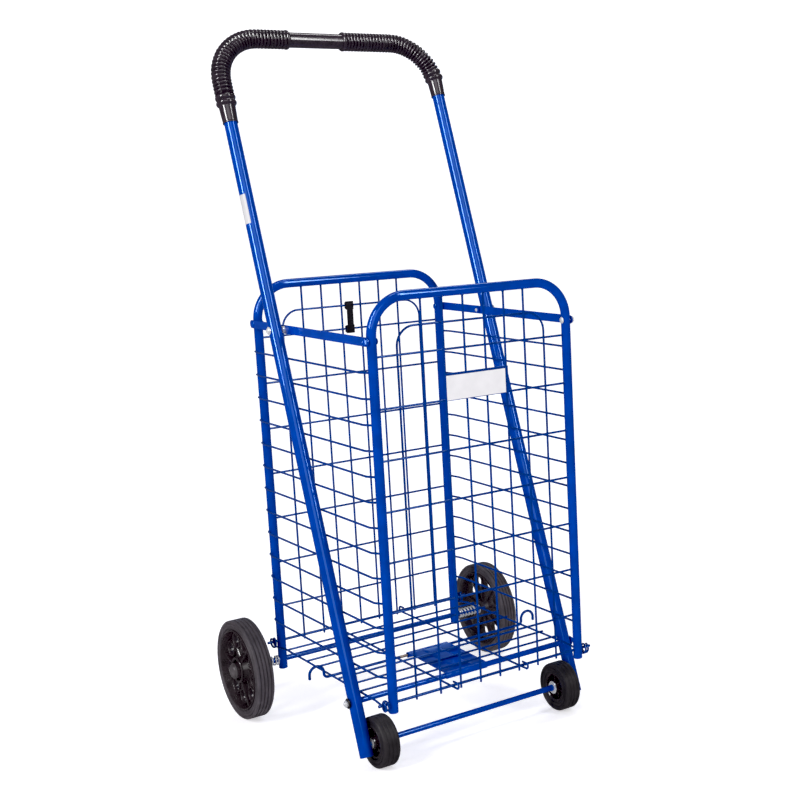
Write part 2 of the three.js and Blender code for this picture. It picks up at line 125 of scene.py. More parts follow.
grip_z = handle_top - HANDLE_R

# ---- Materials ----

FLOOR_GLOW = 0.55
BACKDROP_GLOW = 0.66


def material(name, color, rough, metallic=0.0):
    mat = bpy.data.materials.new(name)
    mat.use_nodes = True
    shader = mat.node_tree.nodes["Principled BSDF"]
    shader.inputs["Base Color"].default_value = (*color, 1)
    shader.inputs["Roughness"].default_value = rough
    shader.inputs["Metallic"].default_value = metallic
    mat.diffuse_color = (*color, 1)
    return mat


def node(mat, kind, **settings):
    made = mat.node_tree.nodes.new(kind)
    for key, value in settings.items():
        if key in made.inputs:
            made.inputs[key].default_value = value
        else:
            setattr(made, key, value)
    return made


def link(mat, out, into):
    mat.node_tree.links.new(out, into)


def noise(mat, scale, detail=3.0, rough=0.55, stretch=None):
    """Noise in the object's own space, stretched if asked."""
    place = node(mat, "ShaderNodeTexCoord")
    texture = node(mat, "ShaderNodeTexNoise", Scale=scale, Detail=detail, Roughness=rough)
    source = place.outputs["Object"]
    if stretch:
        mapping = node(mat, "ShaderNodeMapping", Scale=stretch)
        link(mat, source, mapping.inputs["Vector"])
        source = mapping.outputs["Vector"]
    link(mat, source, texture.inputs["Vector"])
    return texture.outputs["Fac"]


def ramp(mat, source, stops):
    """Map a value to colours. stops is a list of (place, colour)."""
    made = node(mat, "ShaderNodeValToRGB")
    bar = made.color_ramp
    while len(bar.elements) < len(stops):
        bar.elements.new(0.5)
    for element, (place, color) in zip(bar.elements, stops):
        element.position = place
        element.color = (*color, 1) if len(color) == 3 else color
    link(mat, source, made.inputs["Fac"])
    return made.outputs["Color"]


def span(mat, source, low, high, start=0.3, end=0.7):
    """Map a noise value to a range of numbers."""
    made = node(mat, "ShaderNodeMapRange")
    made.inputs["From Min"].default_value = start
    made.inputs["From Max"].default_value = end
    made.inputs["To Min"].default_value = low
    made.inputs["To Max"].default_value = high
    link(mat, source, made.inputs["Value"])
    return made.outputs["Result"]


def bump(mat, source, strength, distance):
    made = node(mat, "ShaderNodeBump", Strength=strength, Distance=distance)
    link(mat, source, made.inputs["Height"])
    link(mat, made.outputs["Normal"], shader_of(mat).inputs["Normal"])


def shader_of(mat):
    return mat.node_tree.nodes["Principled BSDF"]


def paint_material(name, color, shine):
    """Glossy enamel: slight change of depth in the colour, orange peel, fine handling marks."""
    mat = material(name, color, 0.1, 0.12)
    shader = shader_of(mat)
    shader.inputs["Specular IOR Level"].default_value = shine
    shader.inputs["Specular Tint"].default_value = (0.50, 0.80, 1.0, 1)
    darker = tuple(0.84 * c for c in color)
    lighter = tuple(min(1.0, 1.14 * c) for c in color)
    depth = ramp(mat, noise(mat, 46, 4), [(0.30, darker), (0.52, color), (0.74, lighter)])
    link(mat, depth, shader.inputs["Base Color"])
    marks = noise(mat, 320, 5, 0.65)
    link(mat, span(mat, marks, 0.06, 0.13), shader.inputs["Roughness"])
    bump(mat, noise(mat, 420, 2), 0.04, 0.0005)
    return mat


def zinc_material():
    mat = material("zinc_plate", (0.70, 0.71, 0.74), 0.25, 0.45)
    shader = shader_of(mat)
    cloud = noise(mat, 260, 5, 0.6)
    tints = [(0.3, (0.70, 0.71, 0.74)), (0.55, (0.85, 0.86, 0.88)), (0.8, (0.95, 0.95, 0.95))]
    tint = ramp(mat, cloud, tints)
    link(mat, tint, shader.inputs["Base Color"])
    link(mat, span(mat, noise(mat, 700, 4), 0.16, 0.42), shader.inputs["Roughness"])
    bump(mat, noise(mat, 900, 2), 0.06, 0.0003)
    return mat


def bare_rod_material():
    mat = material("bare_rod_steel", (0.42, 0.33, 0.27), 0.38, 0.9)
    shader = shader_of(mat)
    cloud = noise(mat, 420, 5, 0.65)
    tints = [(0.3, (0.26, 0.17, 0.12)), (0.5, (0.46, 0.36, 0.30)), (0.75, (0.70, 0.66, 0.62))]
    tint = ramp(mat, cloud, tints)
    link(mat, tint, shader.inputs["Base Color"])
    link(mat, span(mat, noise(mat, 900, 3), 0.25, 0.55), shader.inputs["Roughness"])
    return mat


def plastic_material(name, color, low, high, shine=0.5, grain=1500, depth=0.12):
    """Moulded plastic: fine spark-eroded grain and slightly uneven gloss."""
    mat = material(name, color, low)
    shader = shader_of(mat)
    shader.inputs["Specular IOR Level"].default_value = shine
    cloud = noise(mat, 90, 4)
    darker = tuple(0.75 * c for c in color)
    lighter = tuple(1.35 * c for c in color)
    tint = ramp(mat, cloud, [(0.3, darker), (0.7, lighter)])
    link(mat, tint, shader.inputs["Base Color"])
    link(mat, span(mat, noise(mat, 260, 5, 0.6), low, high), shader.inputs["Roughness"])
    bump(mat, noise(mat, grain, 2), depth, 0.0004)
    return mat


def rubber_material(name, base):
    """Dull rubber with mould bloom, faint dust and a fine grain."""
    mat = material(name, base, 0.6)
    shader = shader_of(mat)
    shader.inputs["Specular IOR Level"].default_value = 0.42
    bloom = noise(mat, 55, 6, 0.65)
    darker = tuple(0.68 * c for c in base)
    lighter = tuple(1.45 * c for c in base)
    tint = ramp(mat, bloom, [(0.28, darker), (0.5, base), (0.78, lighter)])
    link(mat, tint, shader.inputs["Base Color"])
    link(mat, span(mat, noise(mat, 240, 5, 0.6), 0.42, 0.68), shader.inputs["Roughness"])
    bump(mat, noise(mat, 1100, 3), 0.22, 0.0005)
    return mat


def card_material(name, white):
    """Printed card: slightly uneven white and a fine tooth."""
    mat = material(name, (white, 0.985 * white, 1.015 * white), 0.42)
    shader = shader_of(mat)
    cloud = noise(mat, 60, 3)
    darker, lighter = ((k * white, 0.985 * k * white, 1.015 * k * white) for k in (0.97, 1.03))
    tint = ramp(mat, cloud, [(0.3, darker), (0.7, lighter)])
    link(mat, tint, shader.inputs["Base Color"])
    link(mat, span(mat, noise(mat, 500, 3), 0.34, 0.52), shader.inputs["Roughness"])
    bump(mat, noise(mat, 1400, 3), 0.05, 0.0003)
    return mat


def floor_material():
    """Pale floor that glows more with distance, like a lit backdrop."""
    mat = material("studio_floor", (0.86, 0.86, 0.875), 0.55)
    shader = shader_of(mat)
    cloud = noise(mat, 1.4, 2)
    tint = ramp(mat, cloud, [(0.3, (0.85, 0.85, 0.865)), (0.7, (0.87, 0.87, 0.885))])
    link(mat, tint, shader.inputs["Base Color"])
    shader.inputs["Emission Color"].default_value = (0.99, 0.975, 1.0, 1)
    place = node(mat, "ShaderNodeTexCoord")
    distance = node(mat, "ShaderNodeVectorMath", operation="LENGTH")
    link(mat, place.outputs["Object"], distance.inputs[0])
    glow = span(mat, distance.outputs["Value"], FLOOR_GLOW, BACKDROP_GLOW, 0.9, 3.6)
    link(mat, glow, shader.inputs["Emission Strength"])
    return mat


BLUE = (0.0, 0.053, 0.385)
WIRE_BLUE = (0.006, 0.044, 0.255)
blue_paint = paint_material("blue_enamel", BLUE, 0.85)
wire_paint = paint_material("blue_wire_enamel", WIRE_BLUE, 0.4)
zinc = zinc_material()
bare_rod = bare_rod_material()
grip_plastic = plastic_material("grip_plastic", (0.026, 0.018, 0.027), 0.12, 0.22, 1.0, 1200, 0.05)
black_plastic = plastic_material("moulded_black_plastic", (0.013, 0.011, 0.013), 0.22, 0.36)
rim_plastic = plastic_material("glossy_rim_plastic", (0.034, 0.025, 0.030), 0.16, 0.28, 1.0, 1500, 0.05)
cap_plastic = plastic_material("hub_cap_plastic", (0.075, 0.066, 0.072), 0.25, 0.42)
rubber = rubber_material("tyre_rubber", (0.070, 0.060, 0.070))
small_rubber = rubber_material("small_tyre_rubber", (0.027, 0.023, 0.027))
card = card_material("label_card", 0.84)
sticker_paper = card_material("sticker_paper", 0.56)
floor_paint = floor_material()

# ---- Mesh helpers ----


class Shape:
    """Closed shells that are collected and become one object."""

    def __init__(self):
        self.points = []
        self.faces = []

    def add(self, points, faces):
        start = len(self.points)
        self.points += [Vector(p) for p in points]
        self.faces += [tuple(start + i for i in face) for face in faces]
        return self

    def moved(self, matrix):
        self.points = [matrix @ p for p in self.points]
        return self

    def mirrored(self):
        self.points = [Vector((-p.x, p.y, p.z)) for p in self.points]
        self.faces = [tuple(reversed(face)) for face in self.faces]
        return self

    def mesh(self, name):
        mesh = bpy.data.meshes.new(name)
        mesh.from_pydata(self.points, [], self.faces)
        mesh.validate()
        return mesh


def smooth(mesh, angle=35):
    mesh.shade_smooth()
    mesh.set_sharp_from_angle(angle=math.radians(angle))


def place(name, shape, mat, body, slot, replaces=(), bevel=0.0, angle=35):
    """Make an object of a shape, let it ride on a body and hide the model parts it replaces."""
    mesh = shape.mesh(name)
    mesh.materials.append(mat)
    smooth(mesh, angle)
    piece = bpy.data.objects.new(name, mesh)
    bpy.context.scene.collection.objects.link(piece)
    if bevel:
        modifier = piece.modifiers.new("edge", "BEVEL")
        modifier.width = bevel
        modifier.segments = 2
        modifier.limit_method = "ANGLE"
        modifier.angle_limit = math.radians(38)
        modifier.harden_normals = True
    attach(piece, body)
    if replaces:
        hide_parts(*replaces)
    return piece


def rounded(corners, radius, steps=8):
    """Polyline with its inner corners turned into arcs."""
    corners = [Vector(c) for c in corners]
    radii = radius if isinstance(radius, (list, tuple)) else [radius] * (len(corners) - 2)
    points = [corners[0]]
    for i in range(1, len(corners) - 1):
        here = corners[i]
        back = (corners[i - 1] - here).normalized()
        ahead = (corners[i + 1] - here).normalized()
        half = back.angle(ahead) / 2
        bend = radii[i - 1]
        centre = here + (back + ahead).normalized() * (bend / math.sin(half))
        start = here + back * (bend / math.tan(half)) - centre
        axis = back.cross(ahead).normalized()
        turn = math.pi - 2 * half
        for k in range(steps + 1):
            points.append(centre + Matrix.Rotation(-turn * k / steps, 3, axis) @ start)
    points.append(corners[-1])
    return points


def sections(points, closed=False):
    """A point, a normal and a side direction along a route, without twist."""
    count = len(points)
    tangents = []
    for i in range(count):
        before = points[(i - 1) % count] if closed or i else points[0]
        after = points[(i + 1) % count] if closed or i < count - 1 else points[-1]
        arriving = points[i] - before
        leaving = after - points[i]
        way = Vector()
        for step in (arriving, leaving):
            if step.length > 1e-9:
                way += step.normalized()
        tangents.append(way.normalized())
    side = tangents[0].orthogonal().normalized()
    rings = []
    for i in range(count):
        side = (side - tangents[i] * side.dot(tangents[i])).normalized()
        rings.append((points[i], side, tangents[i].cross(side).normalized(), tangents[i]))
    return rings


def ring(centre, side, up, radius, sides):
    angles = [2 * math.pi * k / sides for k in range(sides)]
    return [centre + side * radius * math.cos(a) + up * radius * math.sin(a) for a in angles]


def skin(rows, sides, closed=False):
    """Quads between neighbouring rings."""
    faces = []
    last = rows if closed else rows - 1
    for i in range(last):
        a = i * sides
        b = ((i + 1) % rows) * sides
        for k in range(sides):
            n = (k + 1) % sides
            faces.append((a + k, a + n, b + n, b + k))
    return faces


def bar(shape, points, radius, sides=12, edge=0.25):
    """Solid round bar along a route, with softened ends. radius may be a list."""
    points = [Vector(p) for p in points]
    frames = sections(points)
    radii = radius if isinstance(radius, list) else [radius] * len(points)
    rows = []
    cut = edge * radii[0]
    centre, side, up, way = frames[0]
    rows.append(ring(centre, side, up, radii[0] - cut, sides))
    rows.append(ring(centre + way * cut, side, up, radii[0], sides))
    for (centre, side, up, way), r in list(zip(frames, radii))[1:-1]:
        rows.append(ring(centre, side, up, r, sides))
    cut = edge * radii[-1]
    centre, side, up, way = frames[-1]
    rows.append(ring(centre - way * cut, side, up, radii[-1], sides))
    rows.append(ring(centre, side, up, radii[-1] - cut, sides))
    faces = skin(len(rows), sides)
    faces.append(tuple(reversed(range(sides))))
    faces.append(tuple(range((len(rows) - 1) * sides, len(rows) * sides)))
    return shape.add([p for row in rows for p in row], faces)


def pipe(shape, points, outer, inner, sides=32, lip=0.0004):
    """Open tube along a route: outside, a rounded lip at each end, and the bore."""
    points = [Vector(p) for p in points]
    frames = sections(points)
    rows = []

    def end_ring(index, sign, radius, depth):
        centre, side, up, way = frames[index]
        rows.append(ring(centre + way * sign * depth, side, up, radius, sides))

    end_ring(0, 1, outer - lip, 0)
    end_ring(0, 1, outer, lip)
    for centre, side, up, way in frames[1:-1]:
        rows.append(ring(centre, side, up, outer, sides))
    end_ring(-1, -1, outer, lip)
    end_ring(-1, -1, outer - lip, 0)
    end_ring(-1, -1, inner + lip / 2, 0)
    end_ring(-1, -1, inner, lip / 2)
    for centre, side, up, way in reversed(frames[1:-1]):
        rows.append(ring(centre, side, up, inner, sides))
    end_ring(0, 1, inner, lip / 2)
    end_ring(0, 1, inner + lip / 2, 0)
    return shape.add([p for row in rows for p in row], skin(len(rows), sides, closed=True))


def turned(shape, profile, segments=48, centre=(0, 0, 0)):
    """Turn a profile of (radius, x) pairs round the X axis. It closes on the axis or on itself."""
    centre = Vector(centre)
    points = []
    starts = []
    for radius, x in profile:
        starts.append(len(points))
        if radius < 1e-7:
            points.append(centre + Vector((x, 0, 0)))
            continue
        for k in range(segments):
            angle = 2 * math.pi * k / segments
            points.append(centre + Vector((x, radius * math.cos(angle), radius * math.sin(angle))))
    faces = []
    on_axis = [radius < 1e-7 for radius, x in profile]
    closed = not (on_axis[0] and on_axis[-1])
    pairs = len(profile) if closed else len(profile) - 1
    for i in range(pairs):
        j = (i + 1) % len(profile)
        a, b = starts[i], starts[j]
        for k in range(segments):
            n = (k + 1) % segments
            if on_axis[i] and on_axis[j]:
                continue
            if on_axis[i]:
                faces.append((a, b + k, b + n))
            elif on_axis[j]:
                faces.append((a + k, b, a + n))
            else:
                faces.append((a + k, b + k, b + n, a + n))
    return shape.add(points, faces)


def arc(centre, radius, start, end, steps):
    """Points of an arc in a profile, angles in degrees from the first axis."""
    points = []
    for k in range(steps + 1):
        angle = math.radians(start + (end - start) * k / steps)
        points.append((centre[0] + radius * math.cos(angle), centre[1] + radius * math.sin(angle)))
    return points


def prism(shape, outline, x0, x1):
    """Extrude an outline of (y, z) points along X."""
    count = len(outline)
    area = sum(
        outline[i][0] * outline[(i + 1) % count][1] - outline[(i + 1) % count][0] * outline[i][1]
        for i in range(count)
    )
    if area < 0:
        outline = outline[::-1]
    points = [Vector((x, y, z)) for x in (x0, x1) for y, z in outline]
    faces = [(i, (i + 1) % count, count + (i + 1) % count, count + i) for i in range(count)]
    faces.append(tuple(reversed(range(count))))
    faces.append(tuple(range(count, 2 * count)))
    return shape.add(points, faces)


def block(shape, low, high):
    (x0, y0, z0), (x1, y1, z1) = low, high
    return prism(shape, [(y0, z0), (y1, z0), (y1, z1), (y0, z1)], x0, x1)


def bead(shape, centre, axis, radius, length, sides=10, rows=6):
    """Small ellipsoid of weld metal."""
    axis = Vector(axis).normalized()
    side = axis.orthogonal().normalized()
    up = axis.cross(side)
    centre = Vector(centre)
    points = [centre - axis * length]
    for i in range(1, rows):
        angle = math.pi * i / rows
        points += ring(centre - axis * length * math.cos(angle), side, up, radius * math.sin(angle), sides)
    points.append(centre + axis * length)
    faces = [(0, 1 + (k + 1) % sides, 1 + k) for k in range(sides)]
    for i in range(rows - 2):
        a = 1 + i * sides
        for k in range(sides):
            n = (k + 1) % sides
            faces.append((a + k, a + n, a + sides + n, a + sides + k))
    top = len(points) - 1
    base = top - sides
    faces += [(base + k, base + (k + 1) % sides, top) for k in range(sides)]
    return shape.add(points, faces)


def hexagon(shape, x0, x1, across, centre, chamfer=0.0008, turn=0.0):
    """Hexagonal nut or bolt head along X, with both faces chamfered by smaller end faces."""
    radius = across / 2 / math.cos(math.pi / 6)
    sign = 1 if x1 > x0 else -1
    face = radius * 0.9
    cut = sign * chamfer
    rows = [(x0, face), (x0 + cut, radius), (x1 - cut, radius), (x1, face)]
    centre = Vector(centre)
    points = []
    for x, r in rows:
        for k in range(6):
            angle = math.radians(60 * k) + turn
            points.append(centre + Vector((x, r * math.cos(angle), r * math.sin(angle))))
    faces = skin(4, 6)
    faces.append(tuple(reversed(range(6))))
    faces.append(tuple(range(18, 24)))
    if sign < 0:
        faces = [tuple(reversed(f)) for f in faces]
    return shape.add(points, faces)


SIDES = (("left", -1), ("right", 1))


def for_side(shape, side):
    return shape if side > 0 else shape.mirrored()


# ---- Basket frames ----


def arch(y, foot):
    corners = [
        (-FRAME_HALF, y, foot),
        (-FRAME_HALF, y, basket_top - TUBE_R),
        (FRAME_HALF, y, basket_top - TUBE_R),
        (FRAME_HALF, y, foot),
    ]
    return rounded(corners, FRAME_CORNER, 20)


def frame_tube(name, y, foot, body, node_name):
    shape = Shape()
    pipe(shape, arch(y, foot), TUBE_R, TUBE_R - TUBE_WALL, 36)
    place(name, shape, blue_paint, body, "blue_paint", [node_name])


frame_tube("rear_frame_arch", rear_y, REAR_FOOT, "rear_frame", "rear_frame_tube")
frame_tube("front_frame_arch", front_y, FRONT_FOOT, "front_frame", "front_frame_tube")


def panel(name, y, outside, body, node_name):
    """Welded wire panel: rows, verticals up to the top bar, an arched loop and a stout bottom wire."""
    shape = Shape()
    layer = outside * LAYER
    row_end = FRAME_HALF - TUBE_R + 0.001
    low = floor_z - 0.006
    high = basket_top - 2 * TUBE_R + 0.001
    stub = TUBE_FACE + 0.0155
    bar(shape, [(-stub, y, floor_z), (stub, y, floor_z)], BOTTOM_WIRE_R, 14)
    levels = [ROW_TOP - i * ROW_PITCH for i in range(ROWS)]
    for z in levels:
        bar(shape, [(-row_end, y, z), (row_end, y, z)], WIRE_R)
    columns = [(i - (COLUMNS - 1) / 2) * COLUMN_PITCH for i in range(COLUMNS)]
    for x in columns:
        bar(shape, [(x, y + layer, low), (x, y + layer, high)], WIRE_R)
    corners = [(-LOOP_HALF, y - layer, low), (-LOOP_HALF, y - layer, LOOP_TOP)]
    corners += [(-x, y_, z) for x, y_, z in reversed(corners)]
    bar(shape, rounded(corners, LOOP_CORNER, 12), WIRE_R)
    for z in levels + [floor_z]:
        for x in columns:
            bead(shape, (x, y + layer / 2, z), (1, 0, 0), 0.0014, 0.0021)
        for x in (-LOOP_HALF, LOOP_HALF):
            bead(shape, (x, y - layer / 2, z), (1, 0, 0), 0.0014, 0.0021)
        for x in (-row_end, row_end):
            bead(shape, (x, y, z), (0, 0, 1), 0.0019, 0.0024)
    for x in columns:
        bead(shape, (x, y + layer, high), (0, 1, 0), 0.0022, 0.0026)
        bead(shape, (x, y, LOOP_TOP), (0, 1, 0), 0.0015, 0.0022)
    place(name, shape, wire_paint, body, "blue_paint", [node_name])


panel("rear_panel_wires", rear_y, 1, "rear_frame", "rear_wire_panel")
panel("front_panel_wires", front_y, -1, "front_frame", "front_wire_panel")


def side_wires():
    """Ladder wires: turned into a hole in the front tube, and hugging the rear tube from outside."""
    for name, point in joint_at.items():
        if not name.startswith("side_wire_"):
            continue
        number = name.split("_")[2]
        z = point.z
        entry = (FRAME_HALF + 0.0040, front_y + 0.0034, z)
        elbow = (SIDE_X, front_y + SIDE_ENTRY, z)
        route = rounded([entry, elbow, (SIDE_X, rear_y - SIDE_SWING, z)], SIDE_BEND, 7)
        radii = [WIRE_R] * len(route)
        steps = 14
        for k in range(steps + 1):
            share = k / steps
            radius = WIRE_R + (SIDE_TIP_R - WIRE_R) * min(1.0, 4 * share)
            angle = math.radians(-12 + 118 * share)
            reach = TUBE_R + radius
            route.append(Vector((FRAME_HALF + reach * math.cos(angle), rear_y + reach * math.sin(angle), z)))
            radii.append(radius)
        for word, side in SIDES:
            shape = Shape()
            bar(shape, route, radii, 12)
            piece_name = f"side_wire_{number}_{word}"
            place(
                f"ladder_wire_{number}_{word}", for_side(shape, side), wire_paint,
                f"side_wires_{number}", "blue_paint", [piece_name],
            )


side_wires()

# ---- Straps, rivets and bolts ----


def strap_outline():
    end = STRAP_W / 2
    rear = arc((rear_y + STRAP_OVERHANG - end, strap_z), end, -90, 90, 14)
    front = arc((front_y, strap_z), end, 90, 270, 14)
    return rear + front


def dome(x0, x1, radius, steps=6):
    """Profile of a low domed head between two places on the axis."""
    rise = x1 - x0
    points = []
    for k in range(steps + 1):
        angle = math.pi / 2 * k / steps
        points.append((radius * math.cos(angle), x0 + rise * math.sin(angle)))
    return points


PIN_R = 0.0025
HEAD_RISE = 0.0018
inner_face = FRAME_HALF - TUBE_R


def strap_pins():
    for word, side in SIDES:
        rear = Shape()
        centre = (0, rear_y, strap_z)
        inner_dome = dome(inner_face, inner_face + HEAD_RISE, 0.0045)
        head_in = [(r, inner_face - (x - inner_face)) for r, x in inner_dome]
        pin = [(PIN_R, inner_face), (PIN_R, STRAP_OUT)]
        profile = head_in[::-1] + pin + dome(STRAP_OUT, STRAP_OUT + HEAD_RISE, 0.0048)
        profile[0] = (0, profile[0][1])
        profile[-1] = (0, profile[-1][1])
        turned(rear, profile, 28, centre)
        place(f"rear_rivet_{word}", for_side(rear, side), blue_paint, "rear_frame", "blue_paint",
              [f"strap_rivet_{word}"])
        bolt = Shape()
        centre = (0, front_y, strap_z)
        on_washer = STRAP_OUT + 0.0007
        tip = STRAP_OUT + 0.005
        washer = [(0.0052, STRAP_OUT), (0.0052, on_washer)]
        thread = [(0.0024, on_washer), (0.0024, STRAP_OUT + 0.0045), (0.0018, tip), (0, tip)]
        turned(bolt, profile[: len(head_in)] + pin + washer + thread, 28, centre)
        hexagon(bolt, on_washer, STRAP_OUT + 0.0038, 0.0086, centre, 0.0005, 0.3)
        place(f"front_bolt_{word}", for_side(bolt, side), blue_paint if side < 0 else zinc, "front_frame",
              "zinc_steel", [f"strap_bolt_{word}"])


def straps():
    for word, side in SIDES:
        shape = Shape()
        prism(shape, strap_outline(), STRAP_IN, STRAP_OUT)
        place(f"strap_bar_{word}", for_side(shape, side), blue_paint, "strap_links", "blue_paint",
              [f"strap_{word}"], bevel=0.0005)


straps()
strap_pins()

# ---- Handle frame ----


def on_leg(side, z):
    return Vector((side * HANDLE_HALF, handle_y(z), z))


handle_corners = [on_leg(-1, HANDLE_FOOT), on_leg(-1, grip_z), on_leg(1, grip_z), on_leg(1, HANDLE_FOOT)]
handle_route = rounded(handle_corners, HANDLE_CORNER, 24)


def handle_tube():
    shape = Shape()
    pipe(shape, handle_route, HANDLE_R, HANDLE_R - HANDLE_WALL, 40)
    place("handle_hoop", shape, blue_paint, "handle_frame", "blue_paint", ["handle_tube"])


def evenly(route, start, end, step):
    """Points at even steps along a route, between two distances."""
    lengths = [0.0]
    for a, b in zip(route, route[1:]):
        lengths.append(lengths[-1] + (b - a).length)
    count = max(2, round((end - start) / step))
    points = []
    distances = []
    i = 0
    for k in range(count + 1):
        d = start + (end - start) * k / count
        while i < len(lengths) - 2 and lengths[i + 1] < d:
            i += 1
        share = (d - lengths[i]) / (lengths[i + 1] - lengths[i])
        points.append(route[i].lerp(route[i + 1], share))
        distances.append(d)
    return points, distances


RING_PITCH = 0.0053
GRIP_LOW = 0.0108
GRIP_HIGH = 0.0138
SLEEVE_SHIFT = -0.017
SLEEVE_HALF = 0.0425


def grip_profile(d, end, cuff_start):
    """Outer radius of a corrugated sleeve at distance d from its collar on the crossbar."""
    collar = 0.0062
    if d < collar:
        return 0.0118 + 0.0024 * math.sin(math.pi * d / collar) ** 0.6
    if d > cuff_start:
        share = (d - cuff_start) / (end - cuff_start)
        lip = 0.0004 if share > 0.93 else 0.0
        return 0.01165 - 0.0012 * share + lip
    band = cuff_start - d
    if band < 0.0165:
        bulge = math.sin(math.pi * ((band / 0.0082) % 1.0))
        return 0.0117 + 0.0026 * bulge ** 0.7
    wave = abs(math.sin(math.pi * (d - collar) / RING_PITCH))
    return GRIP_LOW + (GRIP_HIGH - GRIP_LOW) * wave ** 0.8


def hollow(shape, points, radii, inner, sides):
    """Sleeve along a route: an outer skin of changing radius, and a plain bore."""
    frames = sections(points)
    rows = []
    for (centre, side, up, way), radius in zip(frames, radii):
        rows.append(ring(centre, side, up, radius, sides))
    for centre, side, up, way in (frames[-1], frames[0]):
        rows.append(ring(centre, side, up, inner, sides))
    # The bore is straight between its end rings only on straight sleeves, so bent ones follow the route.
    middle = []
    for centre, side, up, way in reversed(frames[1:-1:6]):
        middle.append(ring(centre, side, up, inner, sides))
    rows = rows[:-1] + middle + rows[-1:]
    return shape.add([p for row in rows for p in row], skin(len(rows), sides, closed=True))


def grips():
    for word, side in SIDES:
        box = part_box(f"grip_{word}")
        collar_x = SLEEVE_SHIFT + side * SLEEVE_HALF
        leg_end = box[0].z + GRIP_HIGH * math.sin(lean)
        route = handle_route if side < 0 else handle_route[::-1]
        middle = len(route) // 2
        half = [on_leg(side, leg_end)] + route[1:middle] + [Vector((collar_x, handle_y(grip_z), grip_z))]
        half.reverse()
        length = sum((b - a).length for a, b in zip(half, half[1:]))
        points, distances = evenly(half, 0, length, 0.0006)
        cuff_start = length - 0.025
        radii = [grip_profile(d, length, cuff_start) for d in distances]
        shape = Shape()
        hollow(shape, points, radii, HANDLE_R + 0.0002, 40)
        place(f"grip_sleeve_{word}", shape, grip_plastic, "handle_frame", "grip_plastic",
              [f"grip_{word}"], angle=60)
    ends = [SLEEVE_SHIFT - SLEEVE_HALF, SLEEVE_SHIFT + SLEEVE_HALF]
    centre_route = [Vector((x, handle_y(grip_z), grip_z)) for x in ends]
    points, distances = evenly(centre_route, 0.0003, 2 * SLEEVE_HALF - 0.0003, 0.002)
    shape = Shape()
    hollow(shape, points, [0.0110] * len(points), HANDLE_R + 0.0002, 48)
    place("grip_middle_sleeve", shape, grip_plastic, "handle_frame", "grip_plastic", ["grip_centre"])


def sticker():
    """Blank white band wrapped partly round the left leg."""
    shape = Shape()
    low = on_leg(-1, 0.728)
    high = on_leg(-1, 0.768)
    way = (high - low).normalized()
    left = Vector((-1, 0, 0))
    front = left.cross(way).normalized()
    steps = 14
    rows = []
    for radius in (HANDLE_R + 0.00025, HANDLE_R + 0.00005):
        for end in (low, high):
            row = []
            for k in range(steps + 1):
                angle = math.radians(-60 + 118 * k / steps)
                row.append(end + left * radius * math.cos(angle) - front * radius * math.sin(angle))
            rows.append(row)
    count = steps + 1
    points = [p for row in rows for p in row]
    faces = []
    for k in range(steps):
        faces.append((k, k + 1, count + k + 1, count + k))
        faces.append((3 * count + k, 3 * count + k + 1, 2 * count + k + 1, 2 * count + k))
        faces.append((2 * count + k, 2 * count + k + 1, k + 1, k))
        faces.append((count + k, count + k + 1, 3 * count + k + 1, 3 * count + k))
    faces.append((0, count, 3 * count, 2 * count))
    faces.append((steps, 2 * count + steps, 3 * count + steps, count + steps))
    shape.add(points, faces)
    place("leg_sticker", shape, sticker_paper, "handle_frame", "label_white", angle=50)


def handle_bolts():
    """Bolt through strap and leg, with a spacer between them and a washer under the domed head."""
    for word, side in SIDES:
        shape = Shape()
        centre = (0, handle_pivot.y, strap_z)
        inside = STRAP_IN - 0.0003
        tip = inside - 0.0048
        profile = [(0, tip), (0.0019, tip), (0.0024, inside - 0.0043), (0.0024, inside)]
        profile += [(PIN_R, inside), (PIN_R, STRAP_OUT + 0.0003), (0.0046, STRAP_OUT + 0.0003)]
        profile += [(0.0046, HANDLE_IN - 0.0002), (PIN_R, HANDLE_IN - 0.0002), (PIN_R, HANDLE_OUT - 0.0002)]
        on_washer = HANDLE_OUT + 0.0008
        profile += [(0.0056, HANDLE_OUT - 0.0002), (0.0056, on_washer), (0.0043, on_washer)]
        profile += dome(HANDLE_OUT + 0.0012, HANDLE_OUT + 0.0034, 0.0043)
        profile[-1] = (0, profile[-1][1])
        turned(shape, profile, 32, centre)
        place(f"pivot_bolt_{word}", for_side(shape, side), zinc, "handle_frame", "zinc_steel",
              [f"handle_bolt_{word}"])
        nut = Shape()
        hexagon(nut, inside - 0.0034, inside - 0.0002, 0.0080, centre, 0.0005, 0.1)
        place(f"pivot_nut_{word}", for_side(nut, side), blue_paint, "handle_frame", "zinc_steel")


